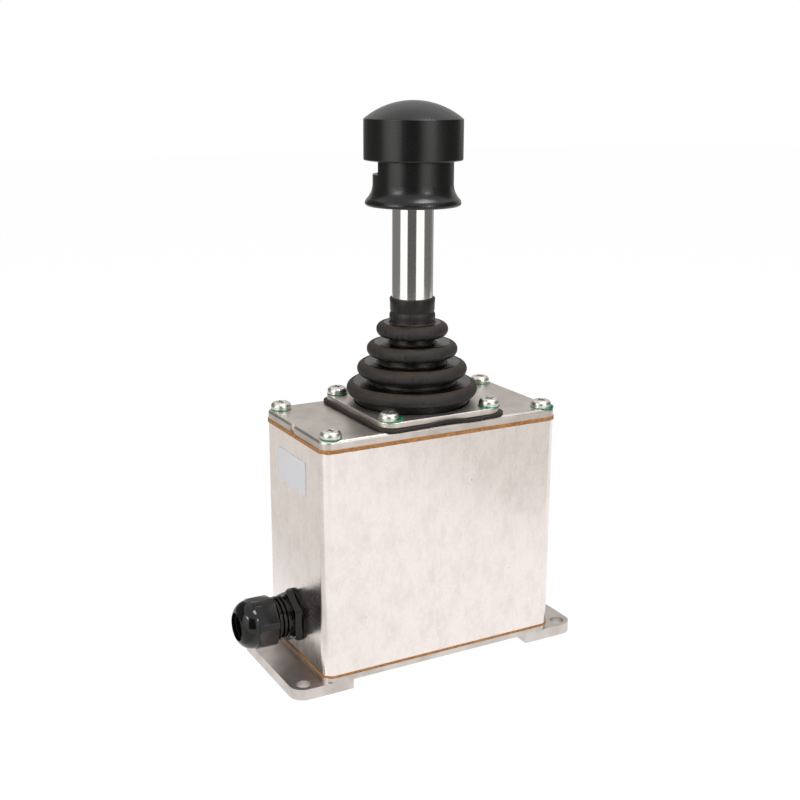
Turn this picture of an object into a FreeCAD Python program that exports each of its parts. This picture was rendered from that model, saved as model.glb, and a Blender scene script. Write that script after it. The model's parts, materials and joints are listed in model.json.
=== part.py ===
import FreeCAD, Part
import math
import os

import Sketcher
from FreeCAD import Placement, Rotation, Vector

# Two-axis industrial joystick: an extruded aluminium box on a footed base, a cable gland on its
# left side, and a lever that leaves the lid through a rubber bellows and ends in a domed knob
# with a lifting collar. Millimetres, +Z up, +X right, -Y towards the operator. The origin is the
# middle of the base bolts, on the face that the base stands on.

# Driving sizes, one plain number each. The sheet keeps them under the same names.
SIZES = {
    # box and its joints
    "tub_width": 124.0,
    "tub_depth": 65.0,
    "tub_height": 106.0,
    "tub_wall": 2.5,
    "tub_corner": 5.5,
    "base_gasket_thick": 1.0,
    "lid_gasket_thick": 1.8,
    "gasket_overhang": 0.4,
    "gasket_band": 3.2,
    "lid_thick": 4.0,
    "lid_edge_round": 1.5,
    "lid_ledge": 2.6,
    "vent_notch": 2.1,
    "port_inset_x": 6.2,
    "port_inset_y": 5.2,
    "port_round": 4.4,
    # base
    "ear_length": 15.2,
    "base_corner": 7.0,
    "ear_height": 5.2,
    "plinth_height": 7.4,
    "foot_length": 29.2,
    "recess_height": 4.7,
    "bolt_inset_x": 6.5,
    "bolt_inset_y": 5.7,
    "bolt_hole": 3.4,
    # M5 pan head screws and their holes
    "pan_shank": 2.5,
    "pan_head": 4.8,
    "pan_height": 3.6,
    "pan_shoulder": 1.45,
    "pan_length": 14.0,
    "retainer_length": 10.0,
    "cross_width": 1.1,
    "cross_span": 4.8,
    "cross_deep": 1.6,
    "screw_clearance": 0.3,
    "thread_clearance": 0.05,
    # boot plate and rubber boot
    "plate_inset": 0.3,
    "plate_thick": 2.6,
    "plate_corner": 8.0,
    "plate_edge_round": 0.7,
    "plate_band": 4.7,
    "plate_screw_inset": 5.7,
    "flange_overhang": 1.5,
    "flange_thick": 1.6,
    "boot_foot_gap": 0.5,
    "boot_wall": 1.0,
    "ring_round": 3.3,
    "ring_shoulder": 2.9,
    "ring_one": 31.0,
    "ring_two": 26.0,
    "ring_three": 21.4,
    "ring_four": 16.9,
    "ring_rise": 6.2,
    "ring_pitch": 9.4,
    "neck_one": 20.6,
    "neck_two": 16.0,
    "neck_three": 10.9,
    "sleeve_outer": 10.6,
    "sleeve_reach": 14.9,
    "sleeve_groove": 0.5,
    "groove_drop": 5.9,
    # lever
    "pivot_drop": 18.2,
    "lever_outer": 9.525,
    "lever_reach": 148.0,
    "lever_bore": 3.15,
    "spigot": 7.0,
    "spring_bore": 5.6,
    "spring_pocket": 32.0,
    "run_fit": 0.06,
    "press_fit": 0.02,
    # knob
    "knob_radius": 22.65,
    "knob_overhang": 8.6,
    "knob_side": 18.2,
    "knob_dome": 8.2,
    "knob_edge_break": 0.5,
    "skirt_wall": 2.4,
    "hub_radius": 16.0,
    "hub_length": 18.0,
    "cavity_rise": 4.0,
    # lifting collar
    "collar_drop": 30.0,
    "collar_neck": 18.5,
    "collar_rim": 22.1,
    "collar_round": 1.5,
    "collar_shelf_in": 0.5,
    "collar_shelf_rise": 2.85,
    "collar_flare": 9.9,
    "flare_rise": 10.0,
    "collar_wall": 2.2,
    "collar_height": 26.0,
    "collar_web": 4.4,
    "collar_lift": 5.0,
    "notch_rise": 14.3,
    "notch_start": 121.0,
    "notch_sweep": 60.0,
    "cross_pin": 1.5,
    "pin_slot_end": 0.5,
    "pin_washer": 1.0,
    # neutral lock
    "lock_rod": 3.0,
    "lock_head": 5.4,
    "lock_head_rise": 8.0,
    "dish_radius": 26.0,
    "dish_clearance": 0.4,
    "lock_hole": 3.4,
    "lock_plate_drop": 33.0,
    "lock_plate_thick": 11.5,
    "lock_plate_depth": 31.0,
    "lock_screw": 2.0,
    "lock_screw_length": 10.0,
    "lock_screw_y": 9.0,
    # gimbal
    "block_width": 22.0,
    "block_height": 20.0,
    "ring_inner_x": 16.0,
    "ring_inner_y": 12.3,
    "ring_wall_x": 4.5,
    "ring_wall_y": 5.0,
    "ring_height": 11.0,
    "ring_corner": 3.0,
    "window_corner": 1.5,
    "shaft": 3.0,
    "side_bush": 4.2,
    "bracket_bush": 4.5,
    "bush_flange": 6.5,
    "bush_flange_thick": 0.7,
    "thrust_washer": 1.0,
    "thrust_radius": 5.4,
    "cheek_inner": 21.5,
    "cheek_thick": 4.0,
    "cheek_depth": 40.0,
    "cheek_reach": 35.0,
    "cheek_chamfer": 5.0,
    "bracket_foot": 7.0,
    "bracket_screw_x": 29.0,
    "bracket_screw_y": 14.0,
    "csk_head": 4.0,
    "csk_shank": 2.0,
    "csk_length": 9.0,
    "csk_slot": 3.2,
    "nut_corner": 11.55,
    "nut_height": 6.0,
    "spigot_end": 2.0,
    "shaft_engaged": 5.9,
    # centring springs, their stops and arms
    "spring_coil": 4.6,
    "spring_wire": 0.6,
    "spring_pitch": 1.4,
    "spring_turns": 2.5,
    "spring_leg": 13.0,
    "spring_gap": 0.3,
    "tab_width": 8.0,
    "lug_inner": 7.4,
    "lug_thick": 2.0,
    "stop_pin": 1.0,
    "arm_inner": 10.8,
    "arm_outer": 13.0,
    "arm_thick": 3.0,
    "arm_hub": 6.0,
    # lock spring in the lever
    "lock_coil": 4.4,
    "lock_wire": 0.5,
    "lock_spring_turns": 6.0,
    "plug_thick": 2.0,
    # angle sensors and small screws
    "sensor_radius": 8.0,
    "sensor_depth": 7.5,
    "sensor_ear": 2.0,
    "sensor_ear_width": 7.0,
    "sensor_ear_pitch": 22.0,
    "small_screw": 1.25,
    "small_screw_length": 6.0,
    # cable gland, measured outwards from the wall
    "gland_rise": 18.6,
    "gland_thread": 9.3,
    "gland_bore": 6.5,
    "gland_seal_bore": 5.0,
    "gland_ring": 12.4,
    "gland_ring_thick": 1.5,
    "gland_hex": 12.7,
    "gland_hex_length": 3.7,
    "gland_end": 20.0,
    "gland_inside": 12.0,
    "dome_start": 13.0,
    "dome_hex": 12.7,
    "dome_hex_length": 10.0,
    "dome_foot": 11.5,
    "dome_round": 7.5,
    "dome_mouth": 6.6,
    "dome_seat": 8.8,
    "dome_gap": 1.25,
    "seal_gap": 0.5,
    "seal_edge": 1.25,
    "locknut_corner": 13.5,
    "locknut_thick": 4.5,
    # rating label on the left face
    "label_width": 30.0,
    "label_height": 16.0,
    "label_thick": 0.2,
    "label_y": 1.4,
    "label_drop": 16.6,
    # electronics
    "board_width": 76.0,
    "board_depth": 40.0,
    "board_thick": 1.6,
    "board_inset": 4.0,
    "board_corner": 1.5,
    "standoff": 3.0,
    "standoff_pin": 1.5,
    "standoff_socket": 1.7,
    "standoff_height": 10.0,
    "terminal_width": 12.0,
    "terminal_pitch": 7.0,
    "terminal_height": 11.0,
    "wire_entry": 2.1,
    "wire_entry_depth": 8.4,
    "wire_entry_rise": 4.4,
    "screw_well_depth": 5.5,
}

DOC = FreeCAD.newDocument("Joystick")
SHEET = DOC.addObject("Spreadsheet::Sheet", "Sizes")
NODES = {}


class Size:
    """A length that carries both its number and the sheet expression that it comes from."""

    def __init__(self, value, text):
        self.value = float(value)
        self.text = text

    def __add__(self, other):
        other = as_size(other)
        return Size(self.value + other.value, "(%s + %s)" % (self.text, other.text))

    def __sub__(self, other):
        other = as_size(other)
        return Size(self.value - other.value, "(%s - %s)" % (self.text, other.text))

    def __mul__(self, other):
        other = as_size(other)
        return Size(self.value * other.value, "(%s * %s)" % (self.text, other.text))

    def __truediv__(self, other):
        other = as_size(other)
        return Size(self.value / other.value, "(%s / %s)" % (self.text, other.text))

    def __neg__(self):
        return Size(-self.value, "(-1 * %s)" % self.text)


def as_size(value):
    """A plain number or a Size, as a Size."""
    if isinstance(value, Size):
        return value
    return Size(value, "(%r)" % float(value))


class Sheet:
    """The driving sizes, each as an attribute."""


def fill_sheet():
    """Writes each driving size to the sheet under its alias and gives them back as Sizes."""
    sizes = Sheet()
    for row, (name, value) in enumerate(SIZES.items(), start=1):
        SHEET.set("A%d" % row, name)
        SHEET.set("B%d" % row, repr(value))
        SHEET.setAlias("B%d" % row, name)
        setattr(sizes, name, Size(value, "Sizes." + name))
    DOC.recompute()
    return sizes


S = fill_sheet()

# Levels of the box, from the ground up.
TUB_BOTTOM = S.plinth_height + S.base_gasket_thick
TUB_TOP = TUB_BOTTOM + S.tub_height
LID_BOTTOM = TUB_TOP + S.lid_gasket_thick
LID_TOP = LID_BOTTOM + S.lid_thick
FLANGE_TOP = LID_TOP + S.flange_thick
PLATE_TOP = FLANGE_TOP + S.plate_thick
GLAND_LEVEL = TUB_BOTTOM + S.gland_rise
BOARD_BOTTOM = S.plinth_height + S.standoff_height

# Levels of what hangs from the lid or stands on the pivot.
PIVOT = LID_BOTTOM - S.pivot_drop
BLOCK_TOP = PIVOT + S.block_height / 2
BLOCK_BOTTOM = PIVOT - S.block_height / 2
LOCK_PLATE_BOTTOM = PIVOT - S.lock_plate_drop
LOCK_PLATE_TOP = LOCK_PLATE_BOTTOM + S.lock_plate_thick
LOCK_SCREW_LEVEL = (LOCK_PLATE_BOTTOM + LOCK_PLATE_TOP) / 2
LEVER_TOP = PIVOT + S.lever_reach
SPRING_SEAT = LEVER_TOP - S.spring_pocket
LOCK_HEAD_TOP = SPRING_SEAT + S.lock_head_rise
KNOB_EDGE = LEVER_TOP + S.knob_overhang
KNOB_TOP = KNOB_EDGE + S.knob_dome
COLLAR_BOTTOM = LEVER_TOP - S.collar_drop
PIN_LEVEL = COLLAR_BOTTOM + S.collar_web / 2

# Half widths and centres that several pieces share.
SIDES = (-1, 1)
CORNERS = [(sx, sy) for sx in SIDES for sy in SIDES]
HALF_WIDTH = S.tub_width / 2
HALF_DEPTH = S.tub_depth / 2
BASE_HALF = HALF_WIDTH + S.ear_length
BOLTS = [((BASE_HALF - S.bolt_inset_x) * sx, (HALF_DEPTH - S.bolt_inset_y) * sy)
         for sx, sy in CORNERS]
PORTS = [((HALF_WIDTH - S.port_inset_x) * sx, (HALF_DEPTH - S.port_inset_y) * sy)
         for sx, sy in CORNERS]
PLATE_HALF = HALF_DEPTH - S.plate_inset
PLATE_OPENING = PLATE_HALF - S.plate_band
PLATE_SCREWS = [((PLATE_HALF - S.plate_screw_inset) * sx, (PLATE_HALF - S.plate_screw_inset) * sy)
                for sx, sy in CORNERS]
FLANGE_HALF = PLATE_HALF + S.flange_overhang
BOOT_FOOT = PLATE_OPENING - S.boot_foot_gap
BOOT_HOLE = BOOT_FOOT - S.boot_wall
BRACKET_SCREWS = [(S.bracket_screw_x * sx, S.bracket_screw_y * sy) for sx, sy in CORNERS]
RING_OUTER_X = S.ring_inner_x + S.ring_wall_x
RING_OUTER_Y = S.ring_inner_y + S.ring_wall_y
CHEEK_OUTER = S.cheek_inner + S.cheek_thick
STANDOFFS = [((S.board_width / 2 - S.board_inset) * sx, (S.board_depth / 2 - S.board_inset) * sy)
             for sx, sy in CORNERS]

# Room along a shaft for a centring spring, and the two pins that one spring rests on.
SPRING_LENGTH = S.spring_pitch * S.spring_turns + S.spring_wire * 2
ARM_START = S.spring_gap * 2 + SPRING_LENGTH
STOP_PIN_Y = S.tab_width / 2 - S.stop_pin
STOP_PIN_DROP = S.lug_inner + S.lug_thick / 2

# How far a cut runs past the faces that it leaves through.
PAST = 1.0
# Slotted cheese heads, as shares of the shank's radius: head, slot length, slot width, slot depth.
CHEESE_HEAD = 2.0
SLOT_REACH = 2.4
SLOT_HALF = 0.2
SLOT_DEPTH = 0.5
# Turn of the gland's domed nut, in degrees, and the number of terminals.
DOME_SPIN = 40
POLES = 4

TURNS = {
    "z": Rotation(),
    "-z": Rotation(Vector(1, 0, 0), 180),
    "x": Rotation(Vector(0, 1, 0), 90),
    "-x": Rotation(Vector(0, 1, 0), -90),
    "y": Rotation(Vector(1, 0, 0), -90),
    "-y": Rotation(Vector(1, 0, 0), 90),
}
# Spin that turns a piece's own Y upright once its Z lies along the named axis.
UPRIGHT = {"x": 90, "-x": -90, "y": 180, "-y": 0}


def bind(item, path, value):
    """Ties one property of an object to the sheet."""
    item.setExpression(path, as_size(value).text)


def place(item, at, axis="z", spin=0):
    """Puts an object at a point, with its own Z along the named axis, turned about that axis."""
    turn = TURNS[axis].multiply(Rotation(Vector(0, 0, 1), as_size(spin).value))
    point = [as_size(value) for value in at]
    item.Placement = Placement(Vector(*[value.value for value in point]), turn)
    for letter, value in zip("xyz", point):
        bind(item, "Placement.Base." + letter, value)
    return item


def keep(item, name):
    """Names an object as a finished sub-part."""
    item.Label = name
    NODES[name] = item
    return item


def cylinder(name, radius, length, at, axis="z", sweep=None, spin=0):
    item = DOC.addObject("Part::Cylinder", name)
    bind(item, "Radius", radius)
    bind(item, "Height", length)
    if sweep is not None:
        bind(item, "Angle", sweep)
    return place(item, at, axis, spin)


def cone(name, radius_low, radius_high, length, at, axis="z"):
    item = DOC.addObject("Part::Cone", name)
    bind(item, "Radius1", radius_low)
    bind(item, "Radius2", radius_high)
    bind(item, "Height", length)
    return place(item, at, axis)


def sphere(name, radius, at):
    item = DOC.addObject("Part::Sphere", name)
    bind(item, "Radius", radius)
    return place(item, at)


def box(name, lengths, centre):
    """A box of three lengths about its centre."""
    item = DOC.addObject("Part::Box", name)
    for path, length in zip(("Length", "Width", "Height"), lengths):
        bind(item, path, length)
    corner = [as_size(middle) - as_size(length) / 2 for middle, length in zip(centre, lengths)]
    return place(item, corner)


def hexagon(name, corner_radius, length, at, axis, spin=0):
    item = DOC.addObject("Part::Prism", name)
    item.Polygon = 6
    bind(item, "Circumradius", corner_radius)
    bind(item, "Height", length)
    return place(item, at, axis, spin)


def fuse(name, members):
    item = DOC.addObject("Part::MultiFuse", name)
    item.Shapes = members
    item.Refine = True
    return item


def cut(name, base, tools):
    item = DOC.addObject("Part::Cut", name)
    item.Base = base
    item.Tool = tools[0] if len(tools) == 1 else fuse(name + "_tools", tools)
    return item


def common(name, first, second):
    item = DOC.addObject("Part::Common", name)
    item.Base = first
    item.Tool = second
    return item


def group(name, members):
    """Several like solids that make one sub-part."""
    item = DOC.addObject("Part::Compound", name)
    item.Links = members
    return item


def tube(name, outer, inner, length, at, axis="z"):
    """A ring or sleeve; its hole runs right through."""
    body = cylinder(name + "_outer", outer, length, at, axis)
    hole = cylinder(name + "_hole", inner, length, at, axis)
    return cut(name, body, [hole])


def new_body(name):
    return DOC.addObject("PartDesign::Body", name)


def sketch(body, name, plane="XY_Plane", offset=0):
    """A sketch on one of the body's own origin planes, moved along the plane's normal."""
    item = body.newObject("Sketcher::SketchObject", name)
    support = [face for face in body.Origin.OriginFeatures if face.Role == plane][0]
    item.AttachmentSupport = [(support, "")]
    item.MapMode = "FlatFace"
    bind(item, "AttachmentOffset.Base.z", offset)
    return item


def fix_point(item, geometry, position, x, y):
    """Dimensions a sketch point from the origin, or puts it on an axis where it is plain zero."""
    for value, kind, axis in ((x, "DistanceX", -2), (y, "DistanceY", -1)):
        if not isinstance(value, Size) and value == 0:
            item.addConstraint(Sketcher.Constraint("PointOnObject", geometry, position, axis))
            continue
        value = as_size(value)
        index = item.addConstraint(
            Sketcher.Constraint(kind, -1, 1, geometry, position, value.value))
        bind(item, "Constraints[%d]" % index, value)


def vector(point):
    return Vector(as_size(point[0]).value, as_size(point[1]).value, 0)


def add_arc(item, start, end, centre, sense):
    """One arc of an outline, left-handed or right-handed about its centre."""
    first, last = (start, end) if sense == "left" else (end, start)
    from_angle = math.atan2(first.y - centre.y, first.x - centre.x)
    to_angle = math.atan2(last.y - centre.y, last.x - centre.x)
    circle = Part.Circle(centre, Vector(0, 0, 1), start.distanceToPoint(centre))
    return item.addGeometry(Part.ArcOfCircle(circle, from_angle, to_angle))


def outline(item, points):
    """Closed outline. A point is (x, y), or (x, y, centre, sense) where an arc leaves it."""
    base = item.GeometryCount
    count = len(points)
    ends = []
    for number, point in enumerate(points):
        start = vector(point)
        end = vector(points[(number + 1) % count])
        if len(point) == 2:
            item.addGeometry(Part.LineSegment(start, end))
            ends.append((1, 2))
        else:
            add_arc(item, start, end, vector(point[2]), point[3])
            ends.append((1, 2) if point[3] == "left" else (2, 1))
    for number in range(count):
        following = (number + 1) % count
        item.addConstraint(Sketcher.Constraint(
            "Coincident", base + number, ends[number][1], base + following, ends[following][0]))
    for number, point in enumerate(points):
        fix_point(item, base + number, ends[number][0], point[0], point[1])
        if len(point) > 2:
            fix_centre(item, base + number, point, points[(number + 1) % count])


def fix_centre(item, geometry, point, following):
    """Fixes an arc's centre along its chord's flatter direction, or on the axis of a turned part."""
    x, y = point[2]
    if not isinstance(x, Size) and x == 0:
        item.addConstraint(Sketcher.Constraint("PointOnObject", geometry, 3, -2))
        return
    chord = vector(following) - vector(point)
    kind, value = ("DistanceX", x) if abs(chord.y) > abs(chord.x) else ("DistanceY", y)
    value = as_size(value)
    index = item.addConstraint(Sketcher.Constraint(kind, -1, 1, geometry, 3, value.value))
    bind(item, "Constraints[%d]" % index, value)


def circles(item, centres, radius):
    for x, y in centres:
        geometry = item.addGeometry(
            Part.Circle(vector((x, y)), Vector(0, 0, 1), as_size(radius).value))
        fix_point(item, geometry, 3, x, y)
        index = item.addConstraint(
            Sketcher.Constraint("Radius", geometry, as_size(radius).value))
        bind(item, "Constraints[%d]" % index, radius)


def rounded(half_x, half_y, corner):
    """Points of a rectangle about the origin with round corners."""
    x, y, r = as_size(half_x), as_size(half_y), as_size(corner)
    return [
        (r - x, -y), (x - r, -y, (x - r, r - y), "left"),
        (x, r - y), (x, y - r, (x - r, y - r), "left"),
        (x - r, y), (r - x, y, (r - x, y - r), "left"),
        (-x, y - r), (-x, r - y, (r - x, r - y), "left"),
    ]


def rectangle(half_x, half_y):
    x, y = as_size(half_x), as_size(half_y)
    return [(-x, -y), (x, -y), (x, y), (-x, y)]


def feature(body, kind, name, profile, length, backwards=False):
    """A pad or pocket of one sketch."""
    item = body.newObject("PartDesign::" + kind, name)
    item.Profile = profile
    bind(item, "Length", length)
    item.Reversed = backwards
    body.Tip = item
    return item


def edge_names(item, test):
    DOC.recompute()
    return ["Edge%d" % (number + 1) for number, edge in enumerate(item.Shape.Edges) if test(edge)]


def dress(body, kind, name, size, test):
    """A fillet or chamfer on the edges of the body that pass a test."""
    base = body.Tip
    item = body.newObject("PartDesign::" + kind, name)
    item.Base = (base, edge_names(base, test))
    bind(item, "Radius" if kind == "Fillet" else "Size", size)
    body.Tip = item
    return item


def at_level(edge, level):
    """True for an edge that lies flat at one height."""
    bounds = edge.BoundBox
    return abs(bounds.ZMin - level.value) < 0.001 and abs(bounds.ZMax - level.value) < 0.001


def turned(name, points, at=(0, 0, 0), axis="z"):
    """A turned piece: its half section, radius across and height up, spun about its own Z."""
    body = new_body(name)
    profile = sketch(body, name + "_section", "XZ_Plane")
    outline(profile, points)
    spun = body.newObject("PartDesign::Revolution", name + "_turn")
    spun.Profile = profile
    spun.ReferenceAxis = (profile, ["V_Axis"])
    spun.Angle = 360
    body.Tip = spun
    return place(body, at, axis)


def plate(name, bottom, thick, points):
    """A flat piece: an outline at one level, padded upwards."""
    body = new_body(name)
    profile = sketch(body, name + "_outline", "XY_Plane", bottom)
    outline(profile, points)
    feature(body, "Pad", name + "_pad", profile, thick)
    return body


def drill(body, name, level, centres, radius, depth, upwards=False):
    """Round holes from one level, downwards unless told otherwise."""
    profile = sketch(body, name + "_circles", "XY_Plane", level)
    circles(profile, centres, radius)
    return feature(body, "Pocket", name, profile, depth, upwards)


def make_base_plate():
    """Cast base: two feet, a raised plinth under the box and four bolt ears."""
    body = plate("base_plate", 0, S.ear_height,
                 rounded(BASE_HALF, HALF_DEPTH, S.base_corner))
    plinth = sketch(body, "plinth_outline", "XY_Plane", S.ear_height)
    outline(plinth, rounded(HALF_WIDTH, HALF_DEPTH, S.tub_corner))
    feature(body, "Pad", "plinth_pad", plinth, S.plinth_height - S.ear_height)
    recess = sketch(body, "recess_outline")
    outline(recess, rectangle(BASE_HALF - S.foot_length, HALF_DEPTH + PAST))
    feature(body, "Pocket", "recess", recess, S.recess_height, True)
    drill(body, "bolt_holes", 0, BOLTS, S.bolt_hole, S.ear_height, True)
    drill(body, "tub_screw_holes", 0, PORTS, S.pan_shank + S.screw_clearance,
          S.plinth_height, True)
    drill(body, "screw_counterbores", 0, PORTS,
          S.pan_head + S.screw_clearance, S.pan_height + S.screw_clearance, True)
    drill(body, "standoff_sockets", S.plinth_height, STANDOFFS,
          S.standoff_pin + S.thread_clearance, S.standoff_socket)
    keep(body, "base_plate")


def make_gasket(name, bottom, thick):
    """Cork-rubber frame that stands proud of the box and widens round its four screws."""
    body = plate(name, bottom, thick,
                 rounded(HALF_WIDTH + S.gasket_overhang, HALF_DEPTH + S.gasket_overhang,
                         S.tub_corner + S.gasket_overhang))
    middle = sketch(body, name + "_opening", "XY_Plane", bottom)
    outline(middle, rounded(HALF_WIDTH - S.gasket_band, HALF_DEPTH - S.gasket_band,
                            S.tub_corner - S.gasket_overhang))
    feature(body, "Pocket", name + "_middle", middle, thick, True)
    lugs = sketch(body, name + "_lugs", "XY_Plane", bottom)
    circles(lugs, PORTS, S.port_round)
    feature(body, "Pad", name + "_lug_pad", lugs, thick)
    drill(body, name + "_holes", bottom, PORTS, S.pan_shank + S.screw_clearance, thick, True)
    keep(body, name)


def make_gaskets():
    make_gasket("base_gasket", S.plinth_height, S.base_gasket_thick)
    make_gasket("lid_gasket", TUB_TOP, S.lid_gasket_thick)


def make_housing_tube():
    """Extruded box with a screw port in each corner and the gland hole in its left wall."""
    body = plate("housing_tube", TUB_BOTTOM, S.tub_height,
                 rounded(HALF_WIDTH, HALF_DEPTH, S.tub_corner))
    inside = sketch(body, "tub_inside", "XY_Plane", TUB_BOTTOM)
    outline(inside, rounded(HALF_WIDTH - S.tub_wall, HALF_DEPTH - S.tub_wall,
                            S.tub_corner - S.tub_wall))
    feature(body, "Pocket", "tub_hollow", inside, S.tub_height, True)
    ports = sketch(body, "port_circles", "XY_Plane", TUB_BOTTOM)
    circles(ports, PORTS, S.port_round)
    feature(body, "Pad", "ports", ports, S.tub_height)
    drill(body, "port_bores", TUB_BOTTOM, PORTS, S.pan_shank + S.thread_clearance,
          S.tub_height, True)
    gland = sketch(body, "gland_hole_circle", "YZ_Plane", -HALF_WIDTH)
    circles(gland, [(0, GLAND_LEVEL)], S.gland_thread + S.screw_clearance)
    feature(body, "Pocket", "gland_hole", gland, S.tub_wall, True)
    keep(body, "housing_tube")


def make_lid():
    """Milled lid with a wide opening for the lever, and a half-round notch in its left edge."""
    body = plate("lid_plate", LID_BOTTOM, S.lid_thick,
                 rounded(HALF_WIDTH, HALF_DEPTH, S.tub_corner))
    dress(body, "Fillet", "lid_edge", S.lid_edge_round, lambda edge: at_level(edge, LID_TOP))
    drill(body, "lid_middle", LID_BOTTOM, [(0, 0)], BOOT_HOLE - S.lid_ledge, S.lid_thick, True)
    drill(body, "lid_screw_holes", LID_BOTTOM, PORTS,
          S.pan_shank + S.screw_clearance, S.lid_thick, True)
    drill(body, "retainer_threads", LID_BOTTOM, PLATE_SCREWS,
          S.pan_shank + S.thread_clearance, S.lid_thick, True)
    drill(body, "vent", LID_BOTTOM, [(-HALF_WIDTH, S.vent_notch / 4)],
          S.vent_notch, S.lid_thick, True)
    sinks = []
    for number, (x, y) in enumerate(BRACKET_SCREWS):
        wide = S.csk_head + S.thread_clearance
        narrow = S.csk_shank + S.thread_clearance
        sinks.append(cone("sink_%d" % number, narrow, wide, wide - narrow,
                          (x, y, LID_TOP - (wide - narrow))))
        sinks.append(cylinder("sink_hole_%d" % number, narrow, S.lid_thick, (x, y, LID_BOTTOM)))
    keep(cut("lid", body, sinks), "lid")


def pan_screw(name, length, at, axis="z"):
    """Pan head machine screw with a cross recess; its head sits on the point given."""
    shoulder = S.pan_shoulder
    curve = S.pan_height - shoulder
    body = turned(name, [
        (0, -as_size(length)), (S.pan_shank, -as_size(length)), (S.pan_shank, 0),
        (S.pan_head, 0),
        (S.pan_head, shoulder, (S.pan_head - curve, shoulder), "left"),
        (S.pan_head - curve, S.pan_height), (0, S.pan_height),
    ], at, axis)
    recess = sketch(body, name + "_cross", "XY_Plane", S.pan_height)
    arm, half = S.cross_span / 2, S.cross_width / 2
    outline(recess, [
        (-half, -arm), (half, -arm), (half, -half), (arm, -half), (arm, half), (half, half),
        (half, arm), (-half, arm), (-half, half), (-arm, half), (-arm, -half), (-half, -half),
    ])
    feature(body, "Pocket", name + "_recess", recess, S.cross_deep)
    return body


def make_box_screws():
    """Four screws through the lid, four under the base and four through the boot plate."""
    lid = [pan_screw("lid_screw_%d" % number, S.pan_length, (x, y, LID_TOP))
           for number, (x, y) in enumerate(PORTS)]
    keep(group("lid_screws", lid), "lid_screws")
    base = [pan_screw("base_screw_%d" % number, S.pan_length,
                      (x, y, S.pan_height + S.screw_clearance), "-z")
            for number, (x, y) in enumerate(PORTS)]
    keep(group("base_screws", base), "base_screws")
    retainer = [pan_screw("retainer_screw_%d" % number, S.retainer_length, (x, y, PLATE_TOP))
                for number, (x, y) in enumerate(PLATE_SCREWS)]
    keep(group("retainer_screws", retainer), "retainer_screws")


def make_retainer_plate():
    """Square plate that clamps the boot's flange to the lid."""
    body = plate("boot_retainer_plate", FLANGE_TOP, S.plate_thick,
                 rounded(PLATE_HALF, PLATE_HALF, S.plate_corner))
    dress(body, "Fillet", "plate_edge", S.plate_edge_round,
          lambda edge: at_level(edge, PLATE_TOP))
    drill(body, "plate_middle", FLANGE_TOP, [(0, 0)], PLATE_OPENING, S.plate_thick, True)
    drill(body, "plate_screw_holes", FLANGE_TOP, PLATE_SCREWS,
          S.pan_shank + S.screw_clearance, S.plate_thick, True)
    keep(body, "boot_retainer_plate")


def boot_rings():
    """Radius, level and the neck above each bellows ring, from the plate up."""
    radii = (S.ring_one, S.ring_two, S.ring_three, S.ring_four)
    necks = (S.neck_one, S.neck_two, S.neck_three, S.sleeve_outer)
    return [(radius, PLATE_TOP + S.ring_rise + S.ring_pitch * number, neck)
            for number, (radius, neck) in enumerate(zip(radii, necks))]


def make_boot():
    """Rubber boot: a square flange, four shrinking bellows rings and a sleeve on the lever."""
    body = plate("rubber_boot", LID_TOP, S.flange_thick,
                 rounded(FLANGE_HALF, FLANGE_HALF, S.plate_corner))
    drill(body, "flange_middle", LID_TOP, [(0, 0)], BOOT_HOLE, S.flange_thick, True)
    drill(body, "flange_holes", LID_TOP, PLATE_SCREWS,
          S.pan_shank + S.screw_clearance, S.flange_thick, True)
    shoulder = S.ring_shoulder
    outer = [(BOOT_FOOT, LID_TOP + S.flange_thick / 2),
             (BOOT_FOOT, PLATE_TOP + S.screw_clearance)]
    inner = [(BOOT_HOLE, LID_TOP + S.flange_thick / 2)]
    rings = boot_rings()
    small = S.ring_round - S.boot_wall
    for number, (radius, level, neck) in enumerate(rings):
        middle = radius - S.ring_round
        if number > 0:
            below = rings[number - 1][2]
            outer.append((below, level - shoulder))
            inner.append((below - S.boot_wall, level - shoulder + S.boot_wall))
        outer.append((middle, level - S.ring_round, (middle, level), "left"))
        outer.append((middle, level + S.ring_round))
        outer.append((neck, level + shoulder))
        inner.append((middle, level - small))
        inner.append((middle, level + small, (middle, level), "right"))
        if number < len(rings) - 1:
            inner.append((neck - S.boot_wall, level + shoulder - S.boot_wall))
    bore = S.lever_outer + S.run_fit
    inner.append((bore, rings[-1][1] + shoulder - S.boot_wall))
    sleeve_top = rings[-1][1] + S.sleeve_reach
    inner.append((bore, sleeve_top))
    groove = sleeve_top - S.groove_drop
    waist = S.sleeve_outer - S.sleeve_groove
    outer += [(S.sleeve_outer, groove - S.sleeve_groove), (waist, groove),
              (waist, groove + S.sleeve_groove), (S.sleeve_outer, groove + S.sleeve_groove * 2),
              (S.sleeve_outer, sleeve_top)]
    profile = sketch(body, "bellows_section", "XZ_Plane")
    outline(profile, outer + inner[::-1])
    spun = body.newObject("PartDesign::Revolution", "bellows")
    spun.Profile = profile
    spun.ReferenceAxis = (profile, ["V_Axis"])
    spun.Angle = 360
    body.Tip = spun
    keep(body, "rubber_boot")


def make_label():
    """Blank rating label on the left face."""
    centre = (-(HALF_WIDTH + S.label_thick / 2), S.label_y, TUB_TOP - S.label_drop)
    keep(box("rating_label", (S.label_thick, S.label_width, S.label_height), centre),
         "rating_label")


def outwards(distance):
    """Where a distance out from the left wall lies along X."""
    return -(HALF_WIDTH + distance)


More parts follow.
